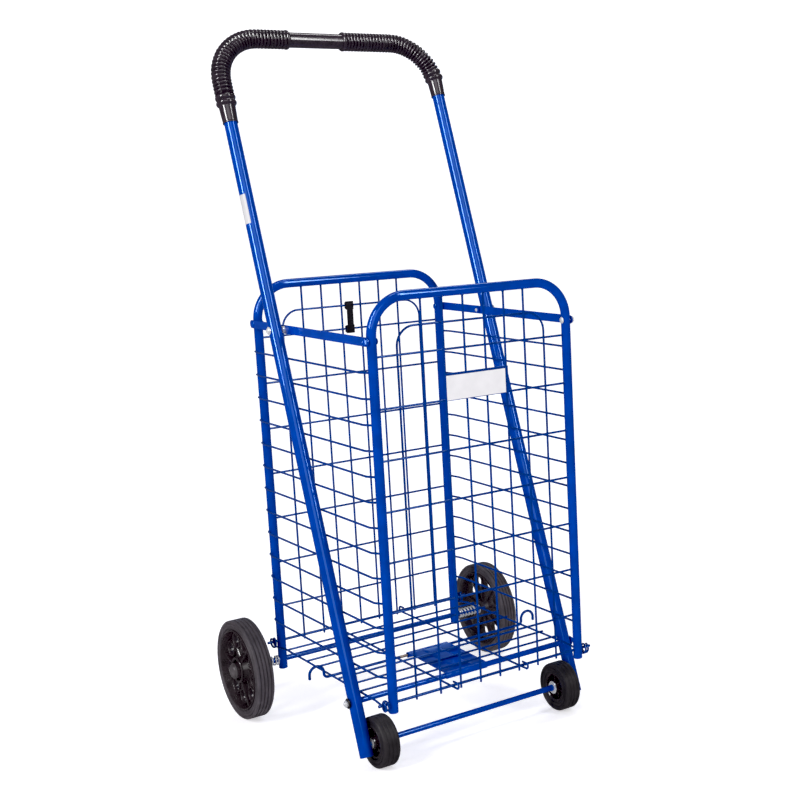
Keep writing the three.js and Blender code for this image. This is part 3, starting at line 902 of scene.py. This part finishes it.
def crossbar():
    """Blue rod through both legs, with a washer and a lock nut outside each. Those on the right are blue."""
    x_end = HANDLE_OUT + 0.002
    shape = Shape()
    ends = [(x, crossbar_at.y, crossbar_at.z) for x in (-x_end, x_end)]
    bar(shape, ends, ROD_R, 28, 0.18)
    place("crossbar_rod", shape, blue_paint, "handle_frame", "blue_paint", ["front_crossbar"])
    for word, side in SIDES:
        washer = Shape()
        x = HANDLE_OUT + 0.0002
        turned(washer, [
            (ROD_R, x), (0.0066, x), (0.0070, x + 0.0005), (0.0070, x + 0.0016),
            (0.0065, x + 0.0021), (ROD_R, x + 0.0021),
        ], 36, crossbar_at)
        washer_mat = black_plastic if side < 0 else blue_paint
        place(f"crossbar_washer_{word}", for_side(washer, side), washer_mat, "handle_frame", "black_plastic")
        nut = Shape()
        hexagon(nut, x + 0.0022, x + 0.0056, 0.0086, crossbar_at, 0.0007, 0.2)
        cap = [(0.0028, x + 0.0052)] + dome(x + 0.0064, x + 0.0074, 0.0028, 4)
        cap = [(0, x + 0.0052)] + cap[:-1] + [(0, cap[-1][1])]
        turned(nut, cap, 28, crossbar_at)
        nut_mat = zinc if side < 0 else blue_paint
        place(f"crossbar_nut_{word}", for_side(nut, side), nut_mat, "handle_frame", "zinc_steel")


def front_axle():
    """Blue rod through both small wheels into both legs, with stops, washers and spacers."""
    shape = Shape()
    x_end = HANDLE_HALF + 0.004
    bar(shape, [(-x_end, front_hub.y, front_hub.z), (x_end, front_hub.y, front_hub.z)], ROD_R, 28, 0.18)
    place("front_axle_rod", shape, blue_paint, "handle_frame", "blue_paint", ["front_axle"])
    inner = front_hub.x - SMALL_W / 2
    outer = front_hub.x + SMALL_W / 2
    for word, side in SIDES:
        centre = (0, front_hub.y, front_hub.z)
        sleeve = Shape()
        turned(sleeve, [
            (ROD_R, inner - 0.0050), (0.0044, inner - 0.0050), (0.0048, inner - 0.0046),
            (0.0048, inner - 0.0016), (ROD_R, inner - 0.0016),
        ], 32, centre)
        place(f"axle_stop_{word}", for_side(sleeve, side), blue_paint, "handle_frame", "blue_paint")
        washer = Shape()
        turned(washer, [
            (ROD_R, inner - 0.0016), (0.0088, inner - 0.0016), (0.0093, inner - 0.0011),
            (0.0093, inner - 0.0006), (0.0088, inner - 0.0002), (ROD_R, inner - 0.0002),
        ], 36, centre)
        turned(washer, [
            (ROD_R, outer + 0.0002), (0.0066, outer + 0.0002), (0.0066, HANDLE_IN), (ROD_R, HANDLE_IN),
        ], 36, centre)
        place(f"axle_washers_{word}", for_side(washer, side), zinc, "handle_frame", "zinc_steel")


handle_tube()
grips()
sticker()
handle_bolts()
crossbar()
front_axle()

# ---- Floor ----

LONG_Z = floor_z - (BOTTOM_WIRE_R + 0.0004 + WIRE_R)
LONG_X = [-0.1609, -0.057, 0.057, 0.1609]
CROSS_SETBACKS = [0.044, 0.076, 0.108, 0.140, 0.204, 0.236, 0.268]
COIL_R = 0.0066
COIL_DROP = 0.0018  # the coil hangs this far below the bottom wire
HOOK_REACH = 0.0065


def coil_end(x, y, direction):
    """The wire winds one and a half times round a bottom wire. direction is -1 at the front end."""
    turns = 1.5
    drift = math.copysign(0.0062, x)
    centre_z = floor_z - COIL_DROP
    points = [Vector((x, y - direction * 0.032, LONG_Z))]
    steps = round(20 * turns)
    for k in range(steps + 1):
        share = k / steps
        angle = -math.pi / 2 + direction * 2 * math.pi * turns * share
        out_y = COIL_R * math.cos(angle)
        out_z = COIL_R * math.sin(angle)
        points.append(Vector((x + drift * share, y + out_y, centre_z + out_z)))
    return points


def hook_end(x, y, direction):
    """The wire passes under a bottom wire, turns up beyond it and comes back over it."""
    rise = 2 * (floor_z - LONG_Z)
    tip = y + direction * (HOOK_REACH + rise / 2)
    corners = [
        Vector((x, y - direction * 0.032, LONG_Z)),
        Vector((x, tip, LONG_Z)),
        Vector((x, tip, LONG_Z + rise)),
        Vector((x, y - direction * 0.003, LONG_Z + rise)),
    ]
    return rounded(corners, rise / 2 - 0.0001, 8)


def floor_grid():
    shape = Shape()
    for x in LONG_X:
        end = coil_end if abs(x) > 0.1 else hook_end
        front = end(x, front_y, -1)[::-1]
        rear = end(x, rear_y, 1)
        bar(shape, front + rear, WIRE_R, 12)
    z = LONG_Z + LAYER
    end_x = LONG_X[-1] + 0.003
    for setback in CROSS_SETBACKS:
        y = rear_y - setback
        bar(shape, [(-end_x, y, z), (end_x, y, z)], WIRE_R)
        for x in LONG_X:
            bead(shape, (x, y, z - LAYER / 2), (1, 0, 0), 0.0014, 0.0021)
    place("floor_wires", shape, wire_paint, "floor", "blue_paint", ["floor_grid"])


def hooked_rod():
    """Cross rod whose ends rise outside the floor and bend over outwards."""
    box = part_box("hooked_rod")
    crest = box[1].z - HOOK_ROD_R
    far = box[1].x - HOOK_ROD_R
    near = 0.168
    turns = [(near, rod_at.z), (near, crest), (far, crest), (far, rod_at.z + 0.002)]
    right = [(x, rod_at.y, z) for x, z in turns]
    left = [(-x, y, z) for x, y, z in reversed(right)]
    hook_r = (far - near) / 2 - 0.0001
    shape = Shape()
    bar(shape, rounded(left + right, [hook_r, hook_r, 0.006, 0.006, hook_r, hook_r], 12), HOOK_ROD_R, 16)
    place("hooked_cross_rod", shape, wire_paint, "floor", "blue_paint", ["hooked_rod"])
    stretch = Shape()
    plate_edge = -0.034
    bar(stretch, [(plate_edge - 0.013, rod_at.y, rod_at.z), (plate_edge - 0.0004, rod_at.y, rod_at.z)],
        HOOK_ROD_R + 0.00012, 20, 0.1)
    place("bare_rod_stretch", stretch, bare_rod, "floor", "zinc_steel")


PLATE_HALF = 0.034
PLATE_T = 0.0012
PLATE_SLACK = 0.0010  # left round the rod


def link_plate():
    """Pressed plate: rolled round the rod, ribbed down its middle, laid over the crossbar."""
    roll = HOOK_ROD_R + PLATE_SLACK
    rest = ROD_R + 0.0004
    start = Vector((rod_at.y, rod_at.z))
    end = Vector((crossbar_at.y, crossbar_at.z))
    # Middle line of the sheet in the Y-Z plane, from the inner end of the roll to the front lip.
    line = []
    for k in range(19):
        angle = math.radians(128 - 398 * k / 18 + 360)
        line.append(start + Vector((math.cos(angle), math.sin(angle))) * (roll + PLATE_T / 2))
    line.reverse()
    top = start + Vector((0, roll + PLATE_T / 2))
    bend = end + Vector((0, rest + PLATE_T / 2))
    flat = [top.lerp(bend, k / 24) for k in range(1, 24)]
    lip = []
    for k in range(9):
        angle = math.radians(90 + 90 * k / 8)
        lip.append(end + Vector((math.cos(angle), math.sin(angle))) * (rest + PLATE_T / 2))
    lip.append(lip[-1] + Vector((0, -0.0030)))
    route = line + flat + lip
    flat_from = len(line)
    flat_to = flat_from + len(flat)
    columns = 41
    rib_half = 0.0135
    rib_rise = 0.0017

    def rise(x, row):
        if not flat_from - 1 < row < flat_to:
            return 0.0
        along = (row - flat_from) / (flat_to - flat_from)
        fade = min(1.0, min(along, 1 - along) * 9)
        across = min(1.0, max(0.0, (rib_half - abs(x)) / 0.0022))
        return rib_rise * across * across * (3 - 2 * across) * max(0.0, fade)

    def normal(row):
        a = route[max(row - 1, 0)]
        b = route[min(row + 1, len(route) - 1)]
        way = (b - a).normalized()
        return Vector((way.y, -way.x))

    points = []
    for face in (1, -1):
        for row, centre in enumerate(route):
            n = normal(row)
            for c in range(columns):
                x = -PLATE_HALF + 2 * PLATE_HALF * c / (columns - 1)
                off = n * (face * PLATE_T / 2 + rise(x, row))
                points.append(Vector((x, centre.x + off.x, centre.y + off.y)))
    rows = len(route)
    size = rows * columns
    faces = []
    for r in range(rows - 1):
        for c in range(columns - 1):
            a = r * columns + c
            faces.append((a, a + 1, a + columns + 1, a + columns))
            b = a + size
            faces.append((b, b + columns, b + columns + 1, b + 1))
    for r in range(rows - 1):
        a = r * columns
        faces.append((a, a + columns, a + columns + size, a + size))
        b = a + columns - 1
        faces.append((b, b + size, b + columns + size, b + columns))
    for c in range(columns - 1):
        faces.append((c, c + size, c + 1 + size, c + 1))
        b = (rows - 1) * columns + c
        faces.append((b, b + 1, b + 1 + size, b + size))
    shape = Shape()
    shape.add(points, faces)
    place("pressed_link_plate", shape, blue_paint, "link_plate", "blue_paint", ["link_plate"])


floor_grid()
hooked_rod()
link_plate()

# ---- Rear axle, springs and wheels ----

HUB_IN = rear_hub.x - 0.011
HUB_OUT = rear_hub.x + 0.017


def rear_axle():
    shape = Shape()
    x_end = HUB_OUT + 0.0024
    bar(shape, [(-x_end, rear_hub.y, rear_hub.z), (x_end, rear_hub.y, rear_hub.z)], ROD_R, 28, 0.18)
    place("rear_axle_rod", shape, blue_paint, "rear_frame", "blue_paint", ["rear_axle"])


def axle_springs():
    """Compression springs with closed ends between the frame and the wheel hubs."""
    coil_r = 0.0064
    spring_r = 0.0012
    start = TUBE_FACE + spring_r
    end = HUB_IN - spring_r
    turns = 8.0
    steps = round(turns * 26)
    points = []
    for k in range(steps + 1):
        turn = turns * k / steps
        # The first and last turn lie flat, the rest share the length.
        closed_pitch = 0.0026
        if turn < 1:
            x = start + closed_pitch * turn
        elif turn > turns - 1:
            x = end - closed_pitch * (turns - turn)
        else:
            share = (turn - 1) / (turns - 2)
            x = start + closed_pitch + (end - start - 2 * closed_pitch) * share
        angle = 2 * math.pi * turn
        points.append((x, rear_hub.y + coil_r * math.cos(angle), rear_hub.z + coil_r * math.sin(angle)))
    for word, side in SIDES:
        shape = Shape()
        bar(shape, points, spring_r, 12)
        place(f"coil_spring_{word}", for_side(shape, side), zinc, "rear_frame", "zinc_steel",
              [f"axle_spring_{word}"])


def groove(x, radius, width, depth):
    """Round-bottomed groove in a tread, as profile points from low to high x."""
    points = []
    for k in range(7):
        angle = math.pi * k / 6
        points.append((radius - depth * math.sin(angle), x - width / 2 * math.cos(angle)))
    return points


def tyre_profile(radius, width, seat, shoulder, grooves, depth, step_in):
    """Closed section of a moulded tyre: sidewalls with two rings, round shoulders, grooved tread."""
    w = width / 2
    side = [
        (seat, -w + step_in), (seat + 0.0010, -w + step_in - 0.0004), (seat + 0.0016, -w + 0.0018),
        (seat + 0.0024, -w + 0.0002), (seat + 0.0036, -w), (seat + 0.0044, -w + 0.0011),
    ]
    rise = radius - shoulder
    side += [(rise - 0.0030, -w + 0.0009), (rise - 0.0022, -w + 0.0018), (rise - 0.0012, -w + 0.0006)]
    side += arc((rise, -w + shoulder), shoulder, -90, 0, 5)
    tread = []
    for i in range(grooves):
        x = -w + shoulder + (width - 2 * shoulder) * (i + 0.5) / grooves
        tread += groove(x, radius, (width - 2 * shoulder) / grooves * 0.40, depth)
    mirrored = [(r, -x) for r, x in reversed(side)]
    return side + tread + mirrored


def rear_tyre(word, side):
    shape = Shape()
    centre = Vector((rear_hub.x, rear_hub.y, rear_hub.z))
    turned(shape, tyre_profile(TYRE_R, TYRE_W, 0.0606, 0.0024, 4, 0.0017, 0.0020), 160, centre)
    place(f"big_tyre_{word}", for_side(shape, side), rubber, f"rear_wheel_{word}", "tyre_rubber",
          [f"rear_tyre_{word}"], angle=42)


RING_AT = 0.0425  # distance of the round openings from the axle
RING_R = 0.0098
RING_GROUPS = (100, 220, 340)
RING_STEP = 38
RING_TURNS = [math.radians(group + k * RING_STEP) for group in RING_GROUPS for k in (-1, 0, 1)]


def on_wheel(turn, out, across, x):
    """A place on a wheel: out from the axle and across, in a direction turned from straight up."""
    y = -out * math.sin(turn) - across * math.cos(turn)
    z = out * math.cos(turn) - across * math.sin(turn)
    return Vector((x, y, z))


def round_opening(turn, radius, x, steps=32):
    points = []
    for k in range(steps):
        a = 2 * math.pi * k / steps
        points.append(on_wheel(turn, RING_AT + radius * math.cos(a), radius * math.sin(a), x))
    return points


def petal(turn, x):
    """Outline from the hub, round an opening and back to the hub."""
    wide = RING_R + 0.0034
    points = []
    for out, across in ((0.0165, 0.0030), (0.0230, 0.0056), (0.0310, 0.0098)):
        points.append((out, across))
    for k in range(9):
        a = math.pi * (0.56 - 0.07 * k)
        points.append((RING_AT + wide * math.cos(a), wide * math.sin(a)))
    mirrored = [(out, -across) for out, across in reversed(points)]
    return [on_wheel(turn, out, across, x) for out, across in points + mirrored]


def collar(shape, turn):
    """Short tube standing on the web round an opening, with a rounded lip."""
    wall = 0.0021
    rise = 0.0058
    foot = 0.0008
    edge = rise - 0.0008
    profile = [(0, foot), (0, edge), (0.0005, rise), (wall - 0.0005, rise), (wall, edge), (wall, foot)]
    rows = [round_opening(turn, RING_R + out, x) for out, x in profile]
    return shape.add([p for row in rows for p in row], skin(len(rows), len(rows[0]), closed=True))


def closed_bar(shape, points, radius, sides=10):
    frames = sections(points, closed=True)
    rows = [ring(centre, s, up, radius, sides) for centre, s, up, way in frames]
    return shape.add([p for row in rows for p in row], skin(len(rows), sides, closed=True))


def web(shape, x0, x1, inner, outer):
    """Flat ring with round openings: both faces, the rims and the walls of the holes in one closed mesh."""
    mesh = bmesh.new()
    edge_steps = 96
    walls = []
    boundary = []
    for radius in (inner, outer):
        loop = [Vector((0, radius * math.cos(a), radius * math.sin(a)))
                for a in (2 * math.pi * k / edge_steps for k in range(edge_steps))]
        boundary.append(loop)
    for turn in RING_TURNS:
        boundary.append(round_opening(turn, RING_R, 0))
    edges = []
    for loop in boundary:
        verts = [mesh.verts.new(p) for p in loop]
        for i in range(len(verts)):
            edges.append(mesh.edges.new((verts[i], verts[(i + 1) % len(verts)])))
    bmesh.ops.triangle_fill(mesh, edges=edges, use_beauty=True, normal=(1, 0, 0))
    mesh.verts.index_update()
    flat = [v.co.copy() for v in mesh.verts]
    tris = [[v.index for v in f.verts] for f in mesh.faces]
    up = []
    for tri in tris:
        a, b, c = (flat[i] for i in tri)
        up.append(tri if (b - a).cross(c - a).x > 0 else tri[::-1])
    count = len(flat)
    points = [p + Vector((x1, 0, 0)) for p in flat] + [p + Vector((x0, 0, 0)) for p in flat]
    faces = [tuple(tri) for tri in up] + [tuple(count + i for i in reversed(tri)) for tri in up]
    used = {}
    for tri in up:
        for i in range(3):
            used[(tri[i], tri[(i + 1) % 3])] = True
    for a, b in used:
        if (b, a) not in used:
            walls.append((b, a, count + a, count + b))
    mesh.free()
    return shape.add(points, faces + walls)


def radial_rib(shape, angle, r0, r1, half, x0, rise0, rise1):
    """Rib standing on the web from the hub to the barrel, with a rounded back."""
    steps = 8
    arc_steps = 6
    rows = []
    for k in range(steps + 1):
        share = k / steps
        r = r0 + (r1 - r0) * share
        rise = rise0 + (rise1 - rise0) * share
        width = half * (1.15 - 0.3 * math.sin(math.pi * share))
        row = [(-width, 0)]
        for j in range(arc_steps + 1):
            a = math.pi * j / arc_steps
            row.append((-width * math.cos(a), rise - width + width * math.sin(a)))
        row.append((width, 0))
        c = math.cos(angle)
        s = math.sin(angle)
        rows.append([Vector((x0 + up, r * c - t * s, r * s + t * c)) for t, up in row])
    count = len(rows[0])
    faces = []
    for i in range(steps):
        for j in range(count):
            n = (j + 1) % count
            faces.append((i * count + j, (i + 1) * count + j, (i + 1) * count + n, i * count + n))
    faces.append(tuple(range(count)))
    faces.append(tuple(reversed(range(steps * count, (steps + 1) * count))))
    return shape.add([p for row in rows for p in row], faces)


def barrel_profile():
    """Rim barrel that the tyre sits on, with a rolled outer flange and a stepped inside."""
    half = 0.0112
    outer = 0.0603
    return [
        (outer, -half), (outer, half), (outer - 0.0004, half + 0.0020), (outer - 0.0014, half + 0.0024),
        (outer - 0.0024, half + 0.0016), (outer - 0.0032, half - 0.0022),
        (0.0555, 0.0035), (0.0548, 0.0010), (0.0548, -0.0010), (0.0555, -0.0035),
        (outer - 0.0030, -half + 0.0022), (outer - 0.0022, -half - 0.0004),
        (outer - 0.0016, -half - 0.0013), (outer - 0.0006, -half - 0.0012),
    ]


def hub_profile():
    inner = HUB_IN - rear_hub.x
    outer = HUB_OUT - rear_hub.x
    bore = 0.0043
    return [
        (bore, inner), (0.0105, inner), (0.0125, inner + 0.0012), (0.0140, inner + 0.0060),
        (0.0160, -0.0022), (0.0205, -0.0020), (0.0205, 0.0020), (0.0190, 0.0040),
        (0.0182, outer - 0.0060), (0.0176, outer - 0.0048), (0.0156, outer - 0.0044),
        (0.0150, outer - 0.0080), (0.0128, outer - 0.0084), (0.0118, outer - 0.0010),
        (bore, outer - 0.0010),
    ]


def rear_rim(word, side):
    """Glossy moulded rim: barrel, hub, web with ringed openings, petals round them and three ribs."""
    shape = Shape()
    centre = Vector((rear_hub.x, rear_hub.y, rear_hub.z))
    turned(shape, barrel_profile(), 128)
    turned(shape, hub_profile(), 64)
    web(shape, -0.0016, 0.0014, 0.0160, 0.0560)
    for turn in RING_TURNS:
        collar(shape, turn)
        bar(shape, petal(turn, 0.0020), 0.0011, 8)
    for group in RING_GROUPS:
        angle = math.radians(90 + group + 60)
        radial_rib(shape, angle, 0.0170, 0.0550, 0.0012, 0.0012, 0.0100, 0.0070)
    lip = HUB_OUT - rear_hub.x - 0.0048
    lip_r = 0.0176
    angles = [math.pi * k / 32 for k in range(64)]
    hub_ring = [Vector((lip, lip_r * math.cos(a), lip_r * math.sin(a))) for a in angles]
    closed_bar(shape, hub_ring, 0.0018)
    back = Shape()
    for group in RING_GROUPS:
        for offset in (60, -RING_STEP / 2, RING_STEP / 2):
            angle = math.radians(90 - group - offset)
            radial_rib(back, angle, 0.0140, 0.0552, 0.0010, 0.0010, 0.0048, 0.0036)
    back.moved(Matrix.Rotation(math.pi, 4, "Z"))
    shape.add(back.points, back.faces)
    shape.moved(Matrix.Translation(centre))
    place(f"big_rim_{word}", for_side(shape, side), rim_plastic, f"rear_wheel_{word}", "black_plastic",
          [f"rear_rim_{word}"])
    cap = Shape()
    outer = HUB_OUT - 0.0012
    profile = [(0, outer), (0.0112, outer), (0.0118, outer + 0.0006)]
    profile += [(0.0118, outer + 0.0020), (0.0112, outer + 0.0026)]
    profile += dome(outer + 0.0030, outer + 0.0072, 0.0106, 10)
    profile[-1] = (0, profile[-1][1])
    turned(cap, profile, 64, (0, rear_hub.y, rear_hub.z))
    place(f"hub_cap_{word}", for_side(cap, side), cap_plastic, f"rear_wheel_{word}", "black_plastic")


def front_tyre(word, side):
    shape = Shape()
    centre = Vector((front_hub.x, front_hub.y, front_hub.z))
    turned(shape, tyre_profile(SMALL_R, SMALL_W, 0.0209, 0.0040, 3, 0.0008, 0.0018), 112, centre)
    place(f"small_tyre_{word}", for_side(shape, side), small_rubber, f"front_wheel_{word}", "tyre_rubber",
          [f"front_tyre_{word}"], angle=42)


def front_rim(word, side):
    shape = Shape()
    centre = Vector((front_hub.x, front_hub.y, front_hub.z))
    w = SMALL_W / 2
    half = [
        (0.0110, 0.0018), (0.0165, 0.0016), (0.0178, 0.0030), (0.0186, w - 0.0024), (0.0196, w - 0.0014),
        (0.0206, w - 0.0016), (0.0208, w - 0.0026),
    ]
    hub = [(0.0043, w - 0.0004), (0.0078, w - 0.0004), (0.0088, w - 0.0014), (0.0094, 0.0030)]
    front = hub + half
    turned(shape, [(r, -x) for r, x in front] + front[::-1], 72)
    for k in range(6):
        angle = math.radians(60 * k + 15)
        radial_rib(shape, angle, 0.0088, 0.0182, 0.0008, 0.0008, 0.0068, 0.0060)
        mirror = Shape()
        radial_rib(mirror, angle, 0.0088, 0.0182, 0.0008, 0.0008, 0.0068, 0.0060)
        mirror.mirrored()
        shape.add(mirror.points, mirror.faces)
    shape.moved(Matrix.Translation(centre))
    place(f"small_rim_{word}", for_side(shape, side), rim_plastic, f"front_wheel_{word}", "black_plastic",
          [f"front_rim_{word}"])


rear_axle()
axle_springs()
for side_word, side_sign in SIDES:
    rear_tyre(side_word, side_sign)
    rear_rim(side_word, side_sign)
    front_tyre(side_word, side_sign)
    front_rim(side_word, side_sign)

# ---- Label plate and panel clip ----


def label_plate():
    """Blue pressed tray with a blank white card set in it."""
    low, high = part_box("label_plate")
    tray = Shape()
    block(tray, (low.x, low.y + 0.0007, low.z), (high.x, high.y, high.z))
    place("label_tray", tray, wire_paint, "front_frame", "blue_paint", ["label_plate"], bevel=0.0005)
    sheet = Shape()
    card_low = (low.x + 0.0010, low.y + 0.0002, low.z + 0.0010)
    card_high = (high.x - 0.0050, low.y + 0.0012, high.z - 0.0032)
    block(sheet, card_low, card_high)
    place("label_card", sheet, card, "front_frame", "label_white", bevel=0.0002)


def panel_clip():
    """Black clip with a claw round the loop wire above and the first row below."""
    low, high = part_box("panel_clip")
    shape = Shape()
    front = low.y
    spine = front + 0.0024
    left = low.x
    right = high.x
    waist_left = left + 0.0014
    waist_right = right - 0.0014
    block(shape, (waist_left, front + 0.0003, ROW_TOP - 0.003), (waist_right, spine, LOOP_TOP + 0.003))
    for x in (waist_left, waist_right - 0.0012):
        block(shape, (x, front, ROW_TOP + 0.003), (x + 0.0012, spine, LOOP_TOP - 0.003))
    for z in (ROW_TOP, LOOP_TOP):
        wire_y = rear_y if z == ROW_TOP else rear_y - LAYER
        outline = [(spine - 0.0016, z - 0.0062), (spine + 0.0005, z - 0.0062)]
        outline += [(wire_y + 0.0006, z - 0.0040), (wire_y + 0.0006, z - 0.0018)]
        outline += arc((wire_y, z), 0.0018, 270, 90, 10)
        outline += [(wire_y + 0.0006, z + 0.0018), (wire_y + 0.0006, z + 0.0040)]
        outline += [(spine + 0.0005, z + 0.0062), (spine - 0.0016, z + 0.0062)]
        prism(shape, outline, left, right)
    place("wire_clip", shape, black_plastic, "rear_frame", "black_plastic", ["panel_clip"], bevel=0.0004)


label_plate()
panel_clip()

# ---- Studio ----


def studio_floor():
    shape = Shape()
    half = 9.0
    back = 6.0
    points = []
    sweep = 1.5  # radius of the curve from the floor to the backdrop
    profile = [(-half, 0.0), (back - sweep, 0.0)]
    for k in range(1, 17):
        a = math.pi / 2 * k / 16
        profile.append((back - sweep + sweep * math.sin(a), sweep - sweep * math.cos(a)))
    profile.append((back, 7.0))
    view_turn = Matrix.Rotation(math.radians(CAMERA_AZIMUTH), 3, "Z")
    for y, z in profile:
        for x in (-half, half):
            points.append(view_turn @ Vector((x, y, z)))
    faces = [(2 * i, 2 * i + 1, 2 * i + 3, 2 * i + 2) for i in range(len(profile) - 1)]
    shape.add(points, faces)
    mesh = shape.mesh("studio_floor")
    mesh.shade_smooth()
    mesh.materials.append(floor_paint)
    cyclorama = bpy.data.objects.new("studio_floor", mesh)
    bpy.context.scene.collection.objects.link(cyclorama)
    cyclorama.visible_glossy = False  # so that the paint reflects the lamps, not the backdrop


CAMERA_AZIMUTH = -37.90
CAMERA_ELEVATION = 9.56
CAMERA_ROLL = -1.82
CAMERA_LENS = 62.44
CAMERA_SHIFT = (-0.2634, 0.0047)
CAMERA_FROM_REAR_PLANE = (-0.9850, -1.8972, 0.7870)


def camera():
    data = bpy.data.cameras.new("camera")
    data.lens = CAMERA_LENS
    data.sensor_width = 36.0
    data.shift_x, data.shift_y = CAMERA_SHIFT
    data.clip_end = 60
    eye = bpy.data.objects.new("camera", data)
    bpy.context.scene.collection.objects.link(eye)
    azimuth = math.radians(CAMERA_AZIMUTH)
    elevation = math.radians(CAMERA_ELEVATION)
    roll = math.radians(CAMERA_ROLL)
    back = Vector((
        math.sin(azimuth) * math.cos(elevation),
        -math.cos(azimuth) * math.cos(elevation),
        math.sin(elevation),
    ))
    level = Vector((math.cos(azimuth), math.sin(azimuth), 0))
    upright = back.cross(level)
    right = level * math.cos(roll) + upright * math.sin(roll)
    up = upright * math.cos(roll) - level * math.sin(roll)
    turn = Matrix((right, up, back)).transposed().to_4x4()
    x, y, z = CAMERA_FROM_REAR_PLANE
    eye.matrix_world = Matrix.Translation((x, rear_y + y, z)) @ turn
    bpy.context.scene.camera = eye


def in_studio(x, y, z):
    """A place given as right of, behind and above the trolley, as the camera sees it."""
    return Matrix.Rotation(math.radians(CAMERA_AZIMUTH), 3, "Z") @ Vector((x, y, z))


def softbox(name, position, target, size, power, color):
    data = bpy.data.lights.new(name, "AREA")
    data.shape = "RECTANGLE"
    data.size, data.size_y = size
    data.energy = power
    data.color = color
    lamp = bpy.data.objects.new(name, data)
    bpy.context.scene.collection.objects.link(lamp)
    lamp.location = position
    lamp.visible_camera = False
    lamp.rotation_euler = (Vector(target) - Vector(position)).to_track_quat("-Z", "Y").to_euler()


LAMPS = (
    # name, place in the studio, target height, size, watts
    ("left_key", (-1.9, -2.2, 2.55), 2.5, (0.42, 2.6), 96),
    ("right_key", (2.3, -1.1, 2.55), 2.5, (0.34, 2.6), 36),
    ("overhead_strip", (0.2, 0.9, 2.9), 0.5, (0.24, 2.6), 13),
    ("front_fill", (0.6, -3.6, 2.2), 0.5, (2.6, 2.6), 24),
    ("back_card", (0.0, 3.2, 0.75), 0.3, (3.2, 1.2), 8),
)


def lights():
    """Tall soft strips that draw bright lines on the tubes, and a weak fill."""
    for name, spot, target_z, size, power in LAMPS:
        color = (0.30, 0.55, 1.0) if name == "back_card" else (1, 1, 1)
        softbox(name, in_studio(*spot), (0, 0, target_z), size, power, color)
    world = bpy.data.worlds.new("studio")
    bpy.context.scene.world = world
    world.use_nodes = True
    backdrop = world.node_tree.nodes["Background"]
    backdrop.inputs["Color"].default_value = (0.98, 0.985, 1.0, 1)
    backdrop.inputs["Strength"].default_value = 0.14


def picture():
    """Plain view transform with the weakest greys pulled down to black."""
    view = bpy.context.scene.view_settings
    view.view_transform = "Standard"
    view.use_curve_mapping = True
    view.curve_mapping.black_level = (0.011, 0.011, 0.011)
    view.curve_mapping.update()


studio_floor()
camera()
lights()
picture()
